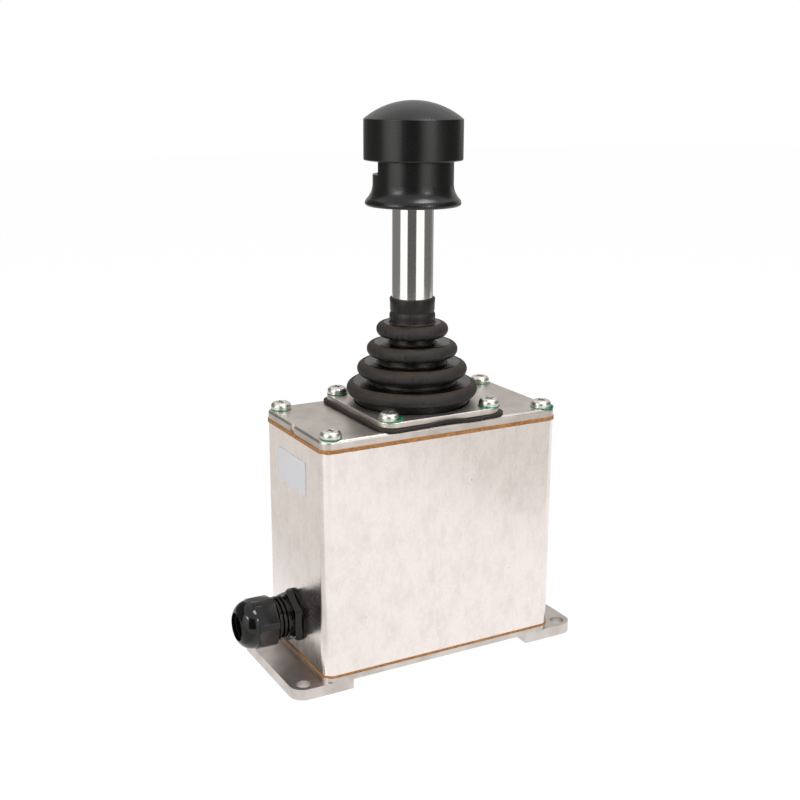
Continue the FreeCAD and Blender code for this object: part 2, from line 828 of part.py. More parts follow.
def make_gland():
    """Nylon cable gland: threaded body, sealing ring, domed nut, rubber seal and locknut."""
    level = GLAND_LEVEL
    inner_end = -(S.tub_wall + S.gland_inside)
    thread = cylinder("gland_thread_bar", S.gland_thread, S.gland_end - inner_end,
                      (outwards(inner_end), 0, level), "-x")
    flats = hexagon("gland_flats", S.gland_hex, S.gland_hex_length,
                    (outwards(S.gland_ring_thick), 0, level), "-x")
    bore = cylinder("gland_bore_bar", S.gland_bore, S.gland_end - inner_end,
                    (outwards(inner_end), 0, level), "-x")
    keep(cut("gland_body", fuse("gland_blank", [thread, flats]), [bore]), "gland_body")
    keep(tube("gland_sealing_ring", S.gland_ring, S.gland_thread + S.screw_clearance,
              S.gland_ring_thick, (outwards(0), 0, level), "-x"), "gland_sealing_ring")

    nut_start = outwards(S.dome_start)
    dome_start = S.dome_start + S.dome_hex_length
    nut = hexagon("dome_flats", S.dome_hex, S.dome_hex_length, (nut_start, 0, level), "-x",
                  DOME_SPIN)
    dome = turned("dome_cap", [
        (0, dome_start),
        (S.dome_foot, dome_start, (S.dome_foot - S.dome_round, dome_start), "left"),
        (S.dome_foot - S.dome_round, dome_start + S.dome_round), (0, dome_start + S.dome_round),
    ], (outwards(0), 0, level), "-x")
    thread_length = S.gland_end + S.dome_gap - S.dome_start
    thread = cylinder("dome_thread", S.gland_thread + S.thread_clearance, thread_length,
                      (nut_start, 0, level), "-x")
    seat = cone("dome_seat_cone", S.dome_seat, S.dome_mouth, S.dome_round,
                (nut_start - thread_length, 0, level), "-x")
    mouth = cylinder("dome_mouth_bar", S.dome_mouth, S.dome_hex_length + S.dome_round,
                     (nut_start, 0, level), "-x")
    keep(cut("gland_dome_nut", fuse("dome_blank", [nut, dome]), [thread, seat, mouth]),
         "gland_dome_nut")

    seal_start = S.gland_end + S.screw_clearance
    seal_end = S.gland_end + S.dome_gap + S.dome_round - S.screw_clearance
    keep(turned("gland_seal", [
        (S.gland_seal_bore, seal_start), (S.dome_seat - S.seal_gap, seal_start),
        (S.dome_seat - S.seal_gap, seal_start + S.seal_edge),
        (S.dome_mouth - S.screw_clearance, seal_end), (S.gland_seal_bore, seal_end),
    ], (outwards(0), 0, level), "-x"), "gland_seal")

    locknut_start = (outwards(-(S.tub_wall + S.locknut_thick)), 0, level)
    locknut = hexagon("locknut_flats", S.locknut_corner, S.locknut_thick, locknut_start, "-x")
    hole = cylinder("locknut_thread", S.gland_thread + S.thread_clearance, S.locknut_thick,
                    locknut_start, "-x")
    keep(cut("gland_locknut", locknut, [hole]), "gland_locknut")


def make_brackets():
    """Two angle brackets under the lid; their cheeks carry the outer shafts of the gimbal."""
    def bracket(name, spin):
        body = new_body(name)
        cheek = sketch(body, name + "_cheek", "YZ_Plane", S.cheek_inner)
        half, bottom, chamfer = S.cheek_depth / 2, PIVOT - S.cheek_reach, S.cheek_chamfer
        outline(cheek, [
            (chamfer - half, bottom), (half - chamfer, bottom), (half, bottom + chamfer),
            (half, LID_BOTTOM), (-half, LID_BOTTOM), (-half, bottom + chamfer),
        ])
        feature(body, "Pad", name + "_cheek_pad", cheek, S.cheek_thick)
        foot = sketch(body, name + "_foot", "YZ_Plane", CHEEK_OUTER)
        outline(foot, [
            (-half, LID_BOTTOM - S.cheek_thick), (half, LID_BOTTOM - S.cheek_thick),
            (half, LID_BOTTOM), (-half, LID_BOTTOM),
        ])
        feature(body, "Pad", name + "_foot_pad", foot, S.bracket_foot)
        bores = sketch(body, name + "_bores", "YZ_Plane", S.cheek_inner)
        circles(bores, [(0, PIVOT)], S.bracket_bush + S.press_fit)
        feature(body, "Pocket", name + "_bush_bore", bores, S.cheek_thick, True)
        screws = sketch(body, name + "_screws", "YZ_Plane", S.cheek_inner)
        circles(screws, [(S.lock_screw_y * side, LOCK_SCREW_LEVEL) for side in SIDES],
                S.lock_screw + S.screw_clearance)
        feature(body, "Pocket", name + "_screw_holes", screws, S.cheek_thick, True)
        ears = sketch(body, name + "_small_holes", "YZ_Plane", S.cheek_inner)
        circles(ears, [(S.sensor_ear_pitch / 2 * side, PIVOT) for side in SIDES],
                S.small_screw + S.thread_clearance)
        feature(body, "Pocket", name + "_ear_holes", ears, S.cheek_thick, True)
        pins = sketch(body, name + "_pin_circles", "YZ_Plane", S.cheek_inner)
        circles(pins, [(STOP_PIN_Y * side, PIVOT - STOP_PIN_DROP) for side in SIDES],
                S.stop_pin + S.press_fit)
        feature(body, "Pocket", name + "_pin_holes", pins, S.cheek_thick, True)
        drill(body, name + "_threads", LID_BOTTOM,
              [(S.bracket_screw_x, S.bracket_screw_y * side) for side in SIDES],
              S.csk_shank + S.thread_clearance, S.cheek_thick)
        return place(body, (0, 0, 0), "z", spin)

    keep(group("gimbal_brackets", [bracket("right_bracket", 0), bracket("left_bracket", 180)]),
         "gimbal_brackets")


def countersunk_screw(name, at):
    """Countersunk screw, its flat head flush with the point given."""
    body = turned(name, [
        (0, -S.csk_length), (S.csk_shank, -S.csk_length), (S.csk_shank, S.csk_shank - S.csk_head),
        (S.csk_head, 0), (0, 0),
    ], at)
    slot = sketch(body, name + "_slot", "XY_Plane")
    outline(slot, rectangle(S.csk_slot, S.cross_width / 2))
    feature(body, "Pocket", name + "_slot_cut", slot, S.cross_width)
    return body


def small_screw(name, shank, length, at, axis="z", spin=0):
    """Slotted cheese head screw; its head sits on the point given."""
    head = shank * CHEESE_HEAD
    body = turned(name, [
        (0, -as_size(length)), (shank, -as_size(length)), (shank, 0), (head, 0),
        (head, shank), (0, shank),
    ])
    slot = sketch(body, name + "_slot", "XY_Plane", shank)
    outline(slot, rectangle(shank * SLOT_REACH, shank * SLOT_HALF))
    feature(body, "Pocket", name + "_slot_cut", slot, shank * SLOT_DEPTH)
    return place(body, at, axis, spin)


def make_bracket_screws():
    """Countersunk screws that hold the brackets under the lid, hidden by the boot's flange."""
    keep(group("bracket_screws", [countersunk_screw("bracket_screw_%d" % number, (x, y, LID_TOP))
                                  for number, (x, y) in enumerate(BRACKET_SCREWS)]),
         "bracket_screws")


def make_lock_plate():
    """Block between the cheeks: its dish is centred on the pivot and holds the lock recess."""
    block = box("lock_block", (S.cheek_inner * 2, S.lock_plate_depth, S.lock_plate_thick),
                (0, 0, LOCK_SCREW_LEVEL))
    dish = sphere("lock_dish", S.dish_radius, (0, 0, PIVOT))
    recess = cylinder("lock_recess", S.lock_hole, S.lock_plate_thick, (0, 0, LOCK_PLATE_BOTTOM))
    threads = []
    screws = []
    for number, (sx, sy) in enumerate(CORNERS):
        axis = "x" if sx > 0 else "-x"
        depth = S.lock_screw_length - S.cheek_thick
        start = ((S.cheek_inner - depth) * sx, S.lock_screw_y * sy, LOCK_SCREW_LEVEL)
        threads.append(cylinder("lock_thread_%d" % number, S.lock_screw + S.thread_clearance,
                                depth, start, axis))
        screws.append(small_screw("lock_plate_screw_%d" % number, S.lock_screw,
                                  S.lock_screw_length,
                                  (CHEEK_OUTER * sx, S.lock_screw_y * sy, LOCK_SCREW_LEVEL), axis))
    keep(cut("lock_plate", block, [dish, recess] + threads), "lock_plate")
    keep(group("lock_plate_screws", screws), "lock_plate_screws")


def bush(name, outer, length, at, axis, flange=None):
    """Plain bearing; a flange, where it has one, lies before the start of the sleeve."""
    parts = [cylinder(name + "_sleeve", outer, length, at, axis)]
    reach = length
    start = at
    if flange is not None:
        sign = -1 if axis == "x" else 1
        start = (as_size(at[0]) + S.bush_flange_thick * sign, at[1], at[2])
        parts.append(cylinder(name + "_flange", flange, S.bush_flange_thick, start, axis))
        reach = length + S.bush_flange_thick
    blank = fuse(name + "_blank", parts) if len(parts) > 1 else parts[0]
    return cut(name, blank, [cylinder(name + "_bore", S.shaft + S.run_fit, reach, start, axis)])


def make_bearings():
    """Flanged bushes in the cheeks, plain bushes in the ring and washers beside the block."""
    level = PIVOT
    keep(group("bracket_bushes", [
        bush("right_bush", S.bracket_bush, S.cheek_thick, (S.cheek_inner, 0, level), "x",
             S.bush_flange),
        bush("left_bush", S.bracket_bush, S.cheek_thick, (-S.cheek_inner, 0, level), "-x",
             S.bush_flange),
    ]), "bracket_bushes")
    keep(group("side_bushes", [
        bush("far_bush", S.side_bush, S.ring_wall_y, (0, S.ring_inner_y, level), "y"),
        bush("near_bush", S.side_bush, S.ring_wall_y, (0, -S.ring_inner_y, level), "-y"),
    ]), "side_bushes")
    keep(group("thrust_washers", [
        tube("far_washer", S.thrust_radius, S.shaft + S.run_fit, S.thrust_washer,
             (0, S.ring_inner_y - S.thrust_washer, level), "y"),
        tube("near_washer", S.thrust_radius, S.shaft + S.run_fit, S.thrust_washer,
             (0, S.thrust_washer - S.ring_inner_y, level), "-y"),
    ]), "thrust_washers")


def make_gimbal_ring():
    """Ring that turns between the cheeks; the lever's block turns inside it."""
    level = PIVOT
    body = plate("ring_blank", level - S.ring_height / 2, S.ring_height,
                 rounded(RING_OUTER_X, RING_OUTER_Y, S.ring_corner))
    window = sketch(body, "ring_window", "XY_Plane", level - S.ring_height / 2)
    outline(window, rounded(S.ring_inner_x, S.ring_inner_y, S.window_corner))
    feature(body, "Pocket", "ring_window_cut", window, S.ring_height, True)
    lug_bottom = level - S.lug_inner - S.lug_thick
    riser_height = level - S.ring_height / 2 - lug_bottom
    riser = box("lug_riser", (S.tab_width, S.ring_wall_y, riser_height),
                (0, -(S.ring_inner_y + S.ring_wall_y / 2), lug_bottom + riser_height / 2))
    reach = ARM_START - S.screw_clearance
    lug = box("lug_tab", (S.tab_width, reach, S.lug_thick),
              (0, -(RING_OUTER_Y + reach / 2), lug_bottom + S.lug_thick / 2))
    tools = [
        cylinder("ring_shaft_bore", S.shaft + S.press_fit, RING_OUTER_X * 2,
                 (-RING_OUTER_X, 0, level), "x"),
        cylinder("ring_bush_bore", S.side_bush + S.press_fit, RING_OUTER_Y * 2,
                 (0, -RING_OUTER_Y, level), "y"),
    ]
    for side in SIDES:
        tools.append(cylinder("ring_ear_hole_%d" % side, S.small_screw + S.thread_clearance,
                              S.ring_wall_y, (S.sensor_ear_pitch / 2 * side, S.ring_inner_y, level),
                              "y"))
    keep(cut("gimbal_ring", fuse("ring_with_lug", [body, riser, lug]), tools), "gimbal_ring")


def make_shafts():
    """Outer shafts pressed in the ring and inner shafts pressed in the lever's block."""
    level = PIVOT
    inner = S.ring_inner_x + S.screw_clearance
    outer = CHEEK_OUTER + ARM_START + S.arm_thick
    keep(group("fore_aft_shafts", [
        cylinder("right_shaft", S.shaft, CHEEK_OUTER + S.shaft_engaged - inner,
                 (inner, 0, level), "x"),
        cylinder("left_shaft", S.shaft, outer - inner, (-inner, 0, level), "-x"),
    ]), "fore_aft_shafts")
    inner = S.spigot + S.screw_clearance
    outer = RING_OUTER_Y + ARM_START + S.arm_thick
    keep(group("side_shafts", [
        cylinder("far_shaft", S.shaft, RING_OUTER_Y + S.shaft_engaged - inner,
                 (0, inner, level), "y"),
        cylinder("near_shaft", S.shaft, outer - inner, (0, -inner, level), "-y"),
    ]), "side_shafts")


def spring_arm(name, at, axis):
    """Arm on a shaft end: a hub and a tab that reaches back between the spring's legs."""
    hub = cylinder(name + "_hub", S.arm_hub, S.arm_thick, (0, 0, ARM_START))
    blade = box(name + "_blade", (S.tab_width, S.arm_outer, S.arm_thick),
                (0, S.arm_outer / -2, ARM_START + S.arm_thick / 2))
    tab_start = S.spring_gap * 2
    reach = ARM_START - tab_start
    tab = box(name + "_tab", (S.tab_width, S.arm_outer - S.arm_inner, reach),
              (0, (S.arm_outer + S.arm_inner) / -2, tab_start + reach / 2))
    bore = cylinder(name + "_bore", S.shaft + S.press_fit, S.arm_thick, (0, 0, ARM_START))
    arm = cut(name, fuse(name + "_blank", [hub, blade, tab]), [bore])
    return keep(place(arm, at, axis, UPRIGHT[axis]), name)


def coil(name, radius, wire, pitch, turns):
    """Round wire swept along a helix that starts at the piece's own +X."""
    helix = DOC.addObject("Part::Helix", name + "_path")
    bind(helix, "Pitch", pitch)
    bind(helix, "Height", as_size(pitch) * turns)
    bind(helix, "Radius", radius)
    section = DOC.addObject("Part::Circle", name + "_wire")
    bind(section, "Radius", wire)
    place(section, (radius, 0, 0), "y")
    swept = DOC.addObject("Part::Sweep", name + "_coil")
    swept.Sections = [section]
    swept.Spine = (helix, [])
    swept.Solid = True
    swept.Frenet = True
    return swept


def centring_spring(name, at, axis):
    """Torsion spring round a shaft; both of its legs hang down, one on each side of the stops."""
    wound = coil(name, S.spring_coil, S.spring_wire, S.spring_pitch, S.spring_turns)
    first = cylinder(name + "_first_leg", S.spring_wire, S.spring_leg,
                     (S.spring_coil, -S.spring_leg, 0), "y")
    last = cylinder(name + "_last_leg", S.spring_wire, S.spring_leg,
                    (-S.spring_coil, -S.spring_leg, S.spring_pitch * S.spring_turns), "y")
    spring = fuse(name, [wound, first, last])
    return keep(place(spring, at, axis, UPRIGHT[axis]), name)


def make_centring():
    """Springs, arms and stop pins that bring the lever back to the middle."""
    level = PIVOT
    lead = S.spring_gap + S.spring_wire
    spring_arm("fore_aft_arm", (-CHEEK_OUTER, 0, level), "-x")
    centring_spring("fore_aft_spring", (-(CHEEK_OUTER + lead), 0, level), "-x")
    spring_arm("side_arm", (0, -RING_OUTER_Y, level), "-y")
    centring_spring("side_spring", (0, -(RING_OUTER_Y + lead), level), "-y")
    keep(group("stop_pins", [
        cylinder("stop_pin_%d" % side, S.stop_pin, S.cheek_thick + ARM_START - S.screw_clearance,
                 (-S.cheek_inner, STOP_PIN_Y * side, level - STOP_PIN_DROP), "-x")
        for side in SIDES]), "stop_pins")


def angle_sensor(name, at, axis):
    """Round angle sensor with two ears, a blind bore for the shaft and a row of pins on top."""
    disc = cylinder(name + "_disc", S.sensor_radius, S.sensor_depth, (0, 0, 0))
    ears = box(name + "_ears", (S.sensor_ear_pitch + S.sensor_ear_width, S.sensor_ear_width,
                                S.sensor_ear), (0, 0, S.sensor_ear / 2))
    header = box(name + "_header", (S.sensor_radius, S.sensor_ear, S.sensor_depth - S.sensor_ear),
                 (0, S.sensor_radius, (S.sensor_depth + S.sensor_ear) / 2))
    bore = cylinder(name + "_bore", S.shaft + S.run_fit, S.shaft_engaged + S.screw_clearance,
                    (0, 0, 0))
    holes = [cylinder(name + "_hole_%d" % side, S.small_screw + S.screw_clearance, S.sensor_ear,
                      (S.sensor_ear_pitch / 2 * side, 0, 0)) for side in SIDES]
    sensor = cut(name, fuse(name + "_blank", [disc, ears, header]), [bore] + holes)
    return keep(place(sensor, at, axis, UPRIGHT[axis]), name)


def make_sensors():
    """One angle sensor on the right cheek and one on the ring, each on two screws."""
    level = PIVOT
    angle_sensor("fore_aft_sensor", (CHEEK_OUTER, 0, level), "x")
    angle_sensor("side_sensor", (0, RING_OUTER_Y, level), "y")
    keep(group("fore_aft_sensor_screws", [
        small_screw("fore_aft_sensor_screw_%d" % side, S.small_screw, S.small_screw_length,
                    (CHEEK_OUTER + S.sensor_ear, S.sensor_ear_pitch / 2 * side, level), "x")
        for side in SIDES]), "fore_aft_sensor_screws")
    keep(group("side_sensor_screws", [
        small_screw("side_sensor_screw_%d" % side, S.small_screw, S.small_screw_length,
                    (S.sensor_ear_pitch / 2 * side, RING_OUTER_Y + S.sensor_ear, level), "y")
        for side in SIDES]), "side_sensor_screws")


def make_electronics():
    """Signal board on four standoffs over the base, with a terminal block for the cable."""
    board = plate("circuit_board", BOARD_BOTTOM, S.board_thick,
                  rounded(S.board_width / 2, S.board_depth / 2, S.board_corner))
    drill(board, "board_holes", BOARD_BOTTOM, STANDOFFS, S.small_screw + S.screw_clearance,
          S.board_thick, True)
    keep(board, "circuit_board")
    keep(group("board_standoffs", [
        turned("standoff_%d" % number, [
            (0, -S.standoff_socket), (S.standoff_pin, -S.standoff_socket), (S.standoff_pin, 0),
            (S.standoff, 0), (S.standoff, S.standoff_height),
            (S.small_screw + S.thread_clearance, S.standoff_height),
            (S.small_screw + S.thread_clearance, S.standoff_height - S.small_screw_length),
            (0, S.standoff_height - S.small_screw_length),
        ], (x, y, S.plinth_height)) for number, (x, y) in enumerate(STANDOFFS)]),
         "board_standoffs")
    keep(group("board_screws", [
        small_screw("board_screw_%d" % number, S.small_screw, S.small_screw_length,
                    (x, y, BOARD_BOTTOM + S.board_thick))
        for number, (x, y) in enumerate(STANDOFFS)]), "board_screws")

    bottom = BOARD_BOTTOM + S.board_thick
    face = S.board_inset * 2 + S.standoff - S.board_width / 2
    top = bottom + S.terminal_height
    rows = [number - (POLES - 1) / 2 for number in range(POLES)]
    block = box("terminal_body", (S.terminal_width, S.terminal_pitch * POLES, S.terminal_height),
                (face + S.terminal_width / 2, 0, bottom + S.terminal_height / 2))
    entries = [cylinder("wire_entry_%d" % number, S.wire_entry, S.wire_entry_depth,
                        (face, S.terminal_pitch * row, bottom + S.wire_entry_rise), "x")
               for number, row in enumerate(rows)]
    wells = [cylinder("screw_well_%d" % number, S.wire_entry, S.screw_well_depth,
                      (face + S.terminal_width / 2, S.terminal_pitch * row,
                       top - S.screw_well_depth))
             for number, row in enumerate(rows)]
    keep(cut("terminal_block", block, entries + wells), "terminal_block")


def make_lever():
    """Chrome lever: a shouldered tube, bored for the lock rod and slotted for the collar pin."""
    spigot_bottom = BLOCK_BOTTOM - S.nut_height - S.spigot_end
    blank = turned("lever_turning", [
        (S.lever_bore, spigot_bottom), (S.spigot, spigot_bottom), (S.spigot, BLOCK_TOP),
        (S.lever_outer, BLOCK_TOP), (S.lever_outer, LEVER_TOP), (S.spring_bore, LEVER_TOP),
        (S.spring_bore, SPRING_SEAT), (S.lever_bore, SPRING_SEAT),
    ])
    width = S.cross_pin * 2 + S.thread_clearance * 2
    slot_height = S.collar_lift + S.cross_pin * 2 + S.screw_clearance * 2
    slot_bottom = PIN_LEVEL - S.cross_pin - S.screw_clearance
    slot = box("lever_slot", (width, S.lever_outer * 2 + PAST, slot_height),
               (0, 0, slot_bottom + slot_height / 2))
    keep(cut("handle_rod", blank, [slot]), "handle_rod")

    block = box("block_body", (S.block_width, S.block_width, S.block_height),
                (0, 0, PIVOT))
    bore = cylinder("block_bore", S.spigot + S.press_fit, S.block_height, (0, 0, BLOCK_BOTTOM))
    cross = cylinder("block_cross_bore", S.shaft + S.press_fit, S.block_width,
                     (0, S.block_width / -2, PIVOT), "y")
    keep(cut("pivot_block", block, [bore, cross]), "pivot_block")

    nut_bottom = (0, 0, BLOCK_BOTTOM - S.nut_height)
    nut = hexagon("nut_flats_bar", S.nut_corner, S.nut_height, nut_bottom, "z")
    hole = cylinder("nut_thread", S.spigot + S.thread_clearance, S.nut_height, nut_bottom)
    keep(cut("handle_nut", nut, [hole]), "handle_nut")
    keep(cylinder("spring_plug", S.spring_bore - S.thread_clearance, S.plug_thick,
                  (0, 0, LEVER_TOP - S.plug_thick)), "spring_plug")


def make_knob():
    """Domed cap: a skirt that hides the collar's neck and a hub pressed on the lever."""
    radius = S.knob_radius
    edge, top = KNOB_EDGE, KNOB_TOP
    rim = edge - S.knob_side
    hub_bottom = LEVER_TOP - S.hub_length
    cavity_top = LEVER_TOP + S.cavity_rise
    rise = top.value - edge.value
    centre = top.value - (radius.value ** 2 + rise ** 2) / (2 * rise)
    skirt = radius - S.skirt_wall
    bore = S.lever_outer + S.press_fit
    ceiling = LEVER_TOP + S.screw_clearance
    body = turned("knob_cap", [
        (0, top), (0, ceiling), (bore, ceiling), (bore, hub_bottom),
        (S.hub_radius, hub_bottom), (S.hub_radius, cavity_top),
        (skirt, cavity_top), (skirt, rim), (radius, rim),
        (radius, edge, (0, centre), "left"),
    ])
    dress(body, "Fillet", "knob_edge", S.knob_edge_break, lambda curve: at_level(curve, edge))
    keep(body, "knob_cap")


def make_collar():
    """Lifting collar: a finger flange below the knob, a neck inside its skirt and a cross pin."""
    bottom, neck = COLLAR_BOTTOM, S.collar_neck
    top = bottom + S.collar_height
    flare_top = bottom + S.flare_rise
    notch_level = bottom + S.notch_rise
    web_top = bottom + S.collar_web
    bore = S.lever_outer + S.run_fit
    inner = neck - S.collar_wall
    rim = S.collar_rim
    edge = S.collar_round
    shelf = (rim - S.collar_shelf_in, bottom + S.collar_shelf_rise)
    blank = turned("collar_turning", [
        (bore, bottom), (rim - edge, bottom, (rim - edge, bottom + edge), "left"),
        (rim, bottom + edge),
        (shelf[0], shelf[1], (neck + S.collar_flare, flare_top), "right"),
        (neck, flare_top), (neck, top), (inner, top),
        (inner, web_top), (bore, web_top),
    ])
    notch = cylinder("collar_notch", S.knob_radius, top - notch_level,
                     (0, 0, notch_level), "z", S.notch_sweep, S.notch_start)
    bind(notch, "Placement.Rotation.Angle", S.notch_start)
    groove_width = S.cross_pin * 2 + S.thread_clearance * 2
    groove_bottom = PIN_LEVEL - S.cross_pin - S.thread_clearance
    groove = box("pin_groove", (groove_width, (inner - S.pin_slot_end) * 2, web_top - groove_bottom),
                 (0, 0, (web_top + groove_bottom) / 2))
    keep(cut("lift_collar", blank, [notch, groove]), "lift_collar")

    half_pin = inner - S.cross_pin
    keep(cylinder("collar_pin", S.cross_pin, half_pin * 2, (0, -half_pin, PIN_LEVEL), "y"),
         "collar_pin")
    keep(tube("collar_pin_washer", inner - S.screw_clearance / 2, bore + S.screw_clearance,
              S.pin_washer, (0, 0, web_top)), "collar_pin_washer")


def make_lock_rod():
    """Lock rod down the lever: round tip over the dish, head with the collar pin through it."""
    tip = PIVOT - S.dish_radius + S.dish_clearance
    head_bottom = SPRING_SEAT + S.screw_clearance
    blank = turned("lock_rod_turning", [
        (0, tip, (0, tip + S.lock_rod), "left"), (S.lock_rod, tip + S.lock_rod),
        (S.lock_rod, head_bottom), (S.lock_head, head_bottom), (S.lock_head, LOCK_HEAD_TOP),
        (0, LOCK_HEAD_TOP),
    ])
    hole = cylinder("lock_cross_hole", S.cross_pin + S.press_fit, S.lock_head * 2,
                    (0, -S.lock_head, PIN_LEVEL), "y")
    keep(cut("lock_rod", blank, [hole]), "lock_rod")
    room = LEVER_TOP - S.plug_thick - LOCK_HEAD_TOP - S.thread_clearance * 2
    bottom = (0, 0, LOCK_HEAD_TOP + S.thread_clearance)
    wound = place(coil("lock_spring_wire", S.lock_coil, S.lock_wire, room / S.lock_spring_turns,
                       S.lock_spring_turns), bottom)
    ground = cylinder("lock_spring_ends", S.spring_bore, room, bottom)
    keep(common("lock_spring", wound, ground), "lock_spring")


MAKERS = [
    make_base_plate, make_gaskets, make_housing_tube, make_lid, make_box_screws,
    make_retainer_plate, make_boot, make_label, make_gland, make_brackets, make_bracket_screws,
    make_lock_plate, make_bearings, make_gimbal_ring, make_shafts, make_centring, make_sensors,
    make_electronics, make_lever, make_knob, make_collar, make_lock_rod,
]
for maker in MAKERS:
    maker()
DOC.recompute()

faults = [item.Label for item in DOC.Objects if "Invalid" in item.State or "Error" in item.State]
for node, item in NODES.items():
    if item.Shape.isNull() or not item.Shape.isValid() or item.Shape.Volume <= 0:
        faults.append(node)
if faults:
    raise RuntimeError("faulty objects: " + ", ".join(faults))

os.makedirs("parts", exist_ok=True)
for node, item in NODES.items():
    item.Shape.exportStep(os.path.join("parts", node + ".step"))
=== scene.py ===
import json
import math

import bpy
from mathutils import Matrix, Vector

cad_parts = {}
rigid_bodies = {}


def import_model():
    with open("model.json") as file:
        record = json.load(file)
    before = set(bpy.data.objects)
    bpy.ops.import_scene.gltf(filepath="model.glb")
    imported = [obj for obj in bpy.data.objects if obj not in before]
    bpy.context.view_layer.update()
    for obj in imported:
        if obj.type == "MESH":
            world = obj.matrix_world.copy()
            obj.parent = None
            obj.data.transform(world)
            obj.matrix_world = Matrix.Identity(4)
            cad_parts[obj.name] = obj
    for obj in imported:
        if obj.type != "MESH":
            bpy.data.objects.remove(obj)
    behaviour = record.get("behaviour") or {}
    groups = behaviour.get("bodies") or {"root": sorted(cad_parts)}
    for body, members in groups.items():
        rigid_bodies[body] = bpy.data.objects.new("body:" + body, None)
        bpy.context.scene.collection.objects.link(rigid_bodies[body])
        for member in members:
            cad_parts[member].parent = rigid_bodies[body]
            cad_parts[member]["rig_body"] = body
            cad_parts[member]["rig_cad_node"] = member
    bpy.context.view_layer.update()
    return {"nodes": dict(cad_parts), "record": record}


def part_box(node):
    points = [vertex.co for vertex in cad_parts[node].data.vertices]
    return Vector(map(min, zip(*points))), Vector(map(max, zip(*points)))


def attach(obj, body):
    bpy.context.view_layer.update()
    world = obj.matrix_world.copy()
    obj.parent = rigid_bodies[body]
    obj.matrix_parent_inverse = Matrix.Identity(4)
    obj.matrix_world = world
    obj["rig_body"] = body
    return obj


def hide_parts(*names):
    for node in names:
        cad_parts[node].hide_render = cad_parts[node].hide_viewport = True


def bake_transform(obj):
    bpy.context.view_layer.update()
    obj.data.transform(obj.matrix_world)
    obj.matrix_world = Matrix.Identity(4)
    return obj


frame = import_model()

bl_info = {
    "name": "Two-axis industrial joystick",
    "version": (1, 0, 0),
    "blender": (4, 5, 0),
    "location": "View3D > Sidebar > Joystick",
    "description": "Dresses the joystick's solids with finished pieces and materials",
    "category": "Object",
}

MM = 0.001

# Levels of the frame's solids, in millimetres.
LID_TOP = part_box("lid")[1].z / MM
FLANGE_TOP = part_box("boot_retainer_plate")[0].z / MM
PLATE_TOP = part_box("boot_retainer_plate")[1].z / MM
BOOT_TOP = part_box("rubber_boot")[1].z / MM

# Places of the screws from the lever's axis, and their heads' radius, in millimetres.
LID_SCREW_X = 55.8
LID_SCREW_Y = 27.3
PLATE_SCREW = 26.5
SCREW_HEAD = 4.8

# Radius and level of each bellows ring, lowest first, and the radius of the neck above it.
BOOT_RINGS = [(31.0, 130.6, 20.6), (26.0, 140.0, 16.0), (21.4, 149.4, 10.9), (16.9, 158.8, 10.6)]

# The radius at which the boot rises from its flange, and the inner radius that clears the lever.
BOOT_FOOT = 27.0
LEVER_CLEARED = 9.65

# Outline of the ribbed sleeve above the rings, as radius and level.
SLEEVE = [(10.75, 164.6), (10.75, 165.6), (10.6, 166.4), (10.2, 167.0), (10.2, 167.5),
          (10.45, 168.1), (10.45, 171.0), (10.65, BOOT_TOP - 0.4), (10.5, BOOT_TOP)]

# The level of the widest neck, where the boot is made in two pieces, and how far from there its
# wall is thinner, so that the leaning lever clears it.
BOOT_SPLIT = 135.0
THIN_REACH = 2.0
THIN_SHARE = 0.65

# The flange's open middle, round corners and the band in which its free edge hangs.
FLANGE_OPENING = 27.5
FLANGE_CORNER = 8.0
HANGING_BAND = 2.2
UNDER_PLATE = 30.0

# How far the flange hangs along its front (by X) and its left (by Y). Less than 0 rises.
FRONT_HANG = [(-34, 0.6), (-26, 0.7), (-13, 0.35), (-1, -0.85), (4, -0.75), (14, 0.75),
              (24, 0.25), (34, 0.0)]
LEFT_HANG = [(-34, 0.0), (-14, -0.6), (4, 0.0), (16, -0.5), (34, 0.0)]

# Outline of one crest of the gland's thread, how far behind the nut the first crest stands, and
# the distance from crest to crest.
THREAD_CREST = [(9.2, -0.85), (9.5, -0.8), (10.3, -0.3), (10.3, 0.3), (9.5, 0.8), (9.2, 0.85),
                (9.2, -0.85)]
THREAD_START = 1.3
THREAD_PITCH = 2.1

# The photograph's camera, fitted to the object's straight edges: metres, radians and pixels.
CAMERA_PLACE = (-0.2683, -0.47593, 0.26983)
CAMERA_YAW = 0.5031
CAMERA_PITCH = 0.2608
CAMERA_ROLL = 0.0042
FOCAL_LENGTH = 1185.94
PHOTO_WIDTH = 800
SENSOR_WIDTH = 36.0

# The camera's side of the table, in degrees from the joystick's front.
CAMERA_SIDE = -28.8


def linear(code):
    """An sRGB hex colour as linear RGBA."""
    parts = [int(code[i:i + 2], 16) / 255 for i in (1, 3, 5)]
    return tuple(p / 12.92 if p <= 0.04045 else ((p + 0.055) / 1.055) ** 2.4
                 for p in parts) + (1.0,)


def add(tree, kind, links=(), **settings):
    """Adds a node. Settings name its sockets or its own fields, links are (source, input)."""
    node = tree.nodes.new(kind)
    for name, value in settings.items():
        label = name.replace("_", " ")
        socket = next((s for s in node.inputs if s.name.lower() == label), None)
        if socket:
            socket.default_value = value
        else:
            setattr(node, name, value)
    for source, target in links:
        tree.links.new(source, node.inputs[target])
    return node


def material(name, colour, metallic=0.0, roughness=0.5, specular=0.5):
    """A plain surface with the constants set on the shader's own sockets."""
    made = bpy.data.materials.new(name)
    made.use_nodes = True
    shader = made.node_tree.nodes["Principled BSDF"]
    shader.inputs["Base Color"].default_value = linear(colour)
    shader.inputs["Metallic"].default_value = metallic
    shader.inputs["Roughness"].default_value = roughness
    shader.inputs["Specular IOR Level"].default_value = specular
    return made, made.node_tree, shader


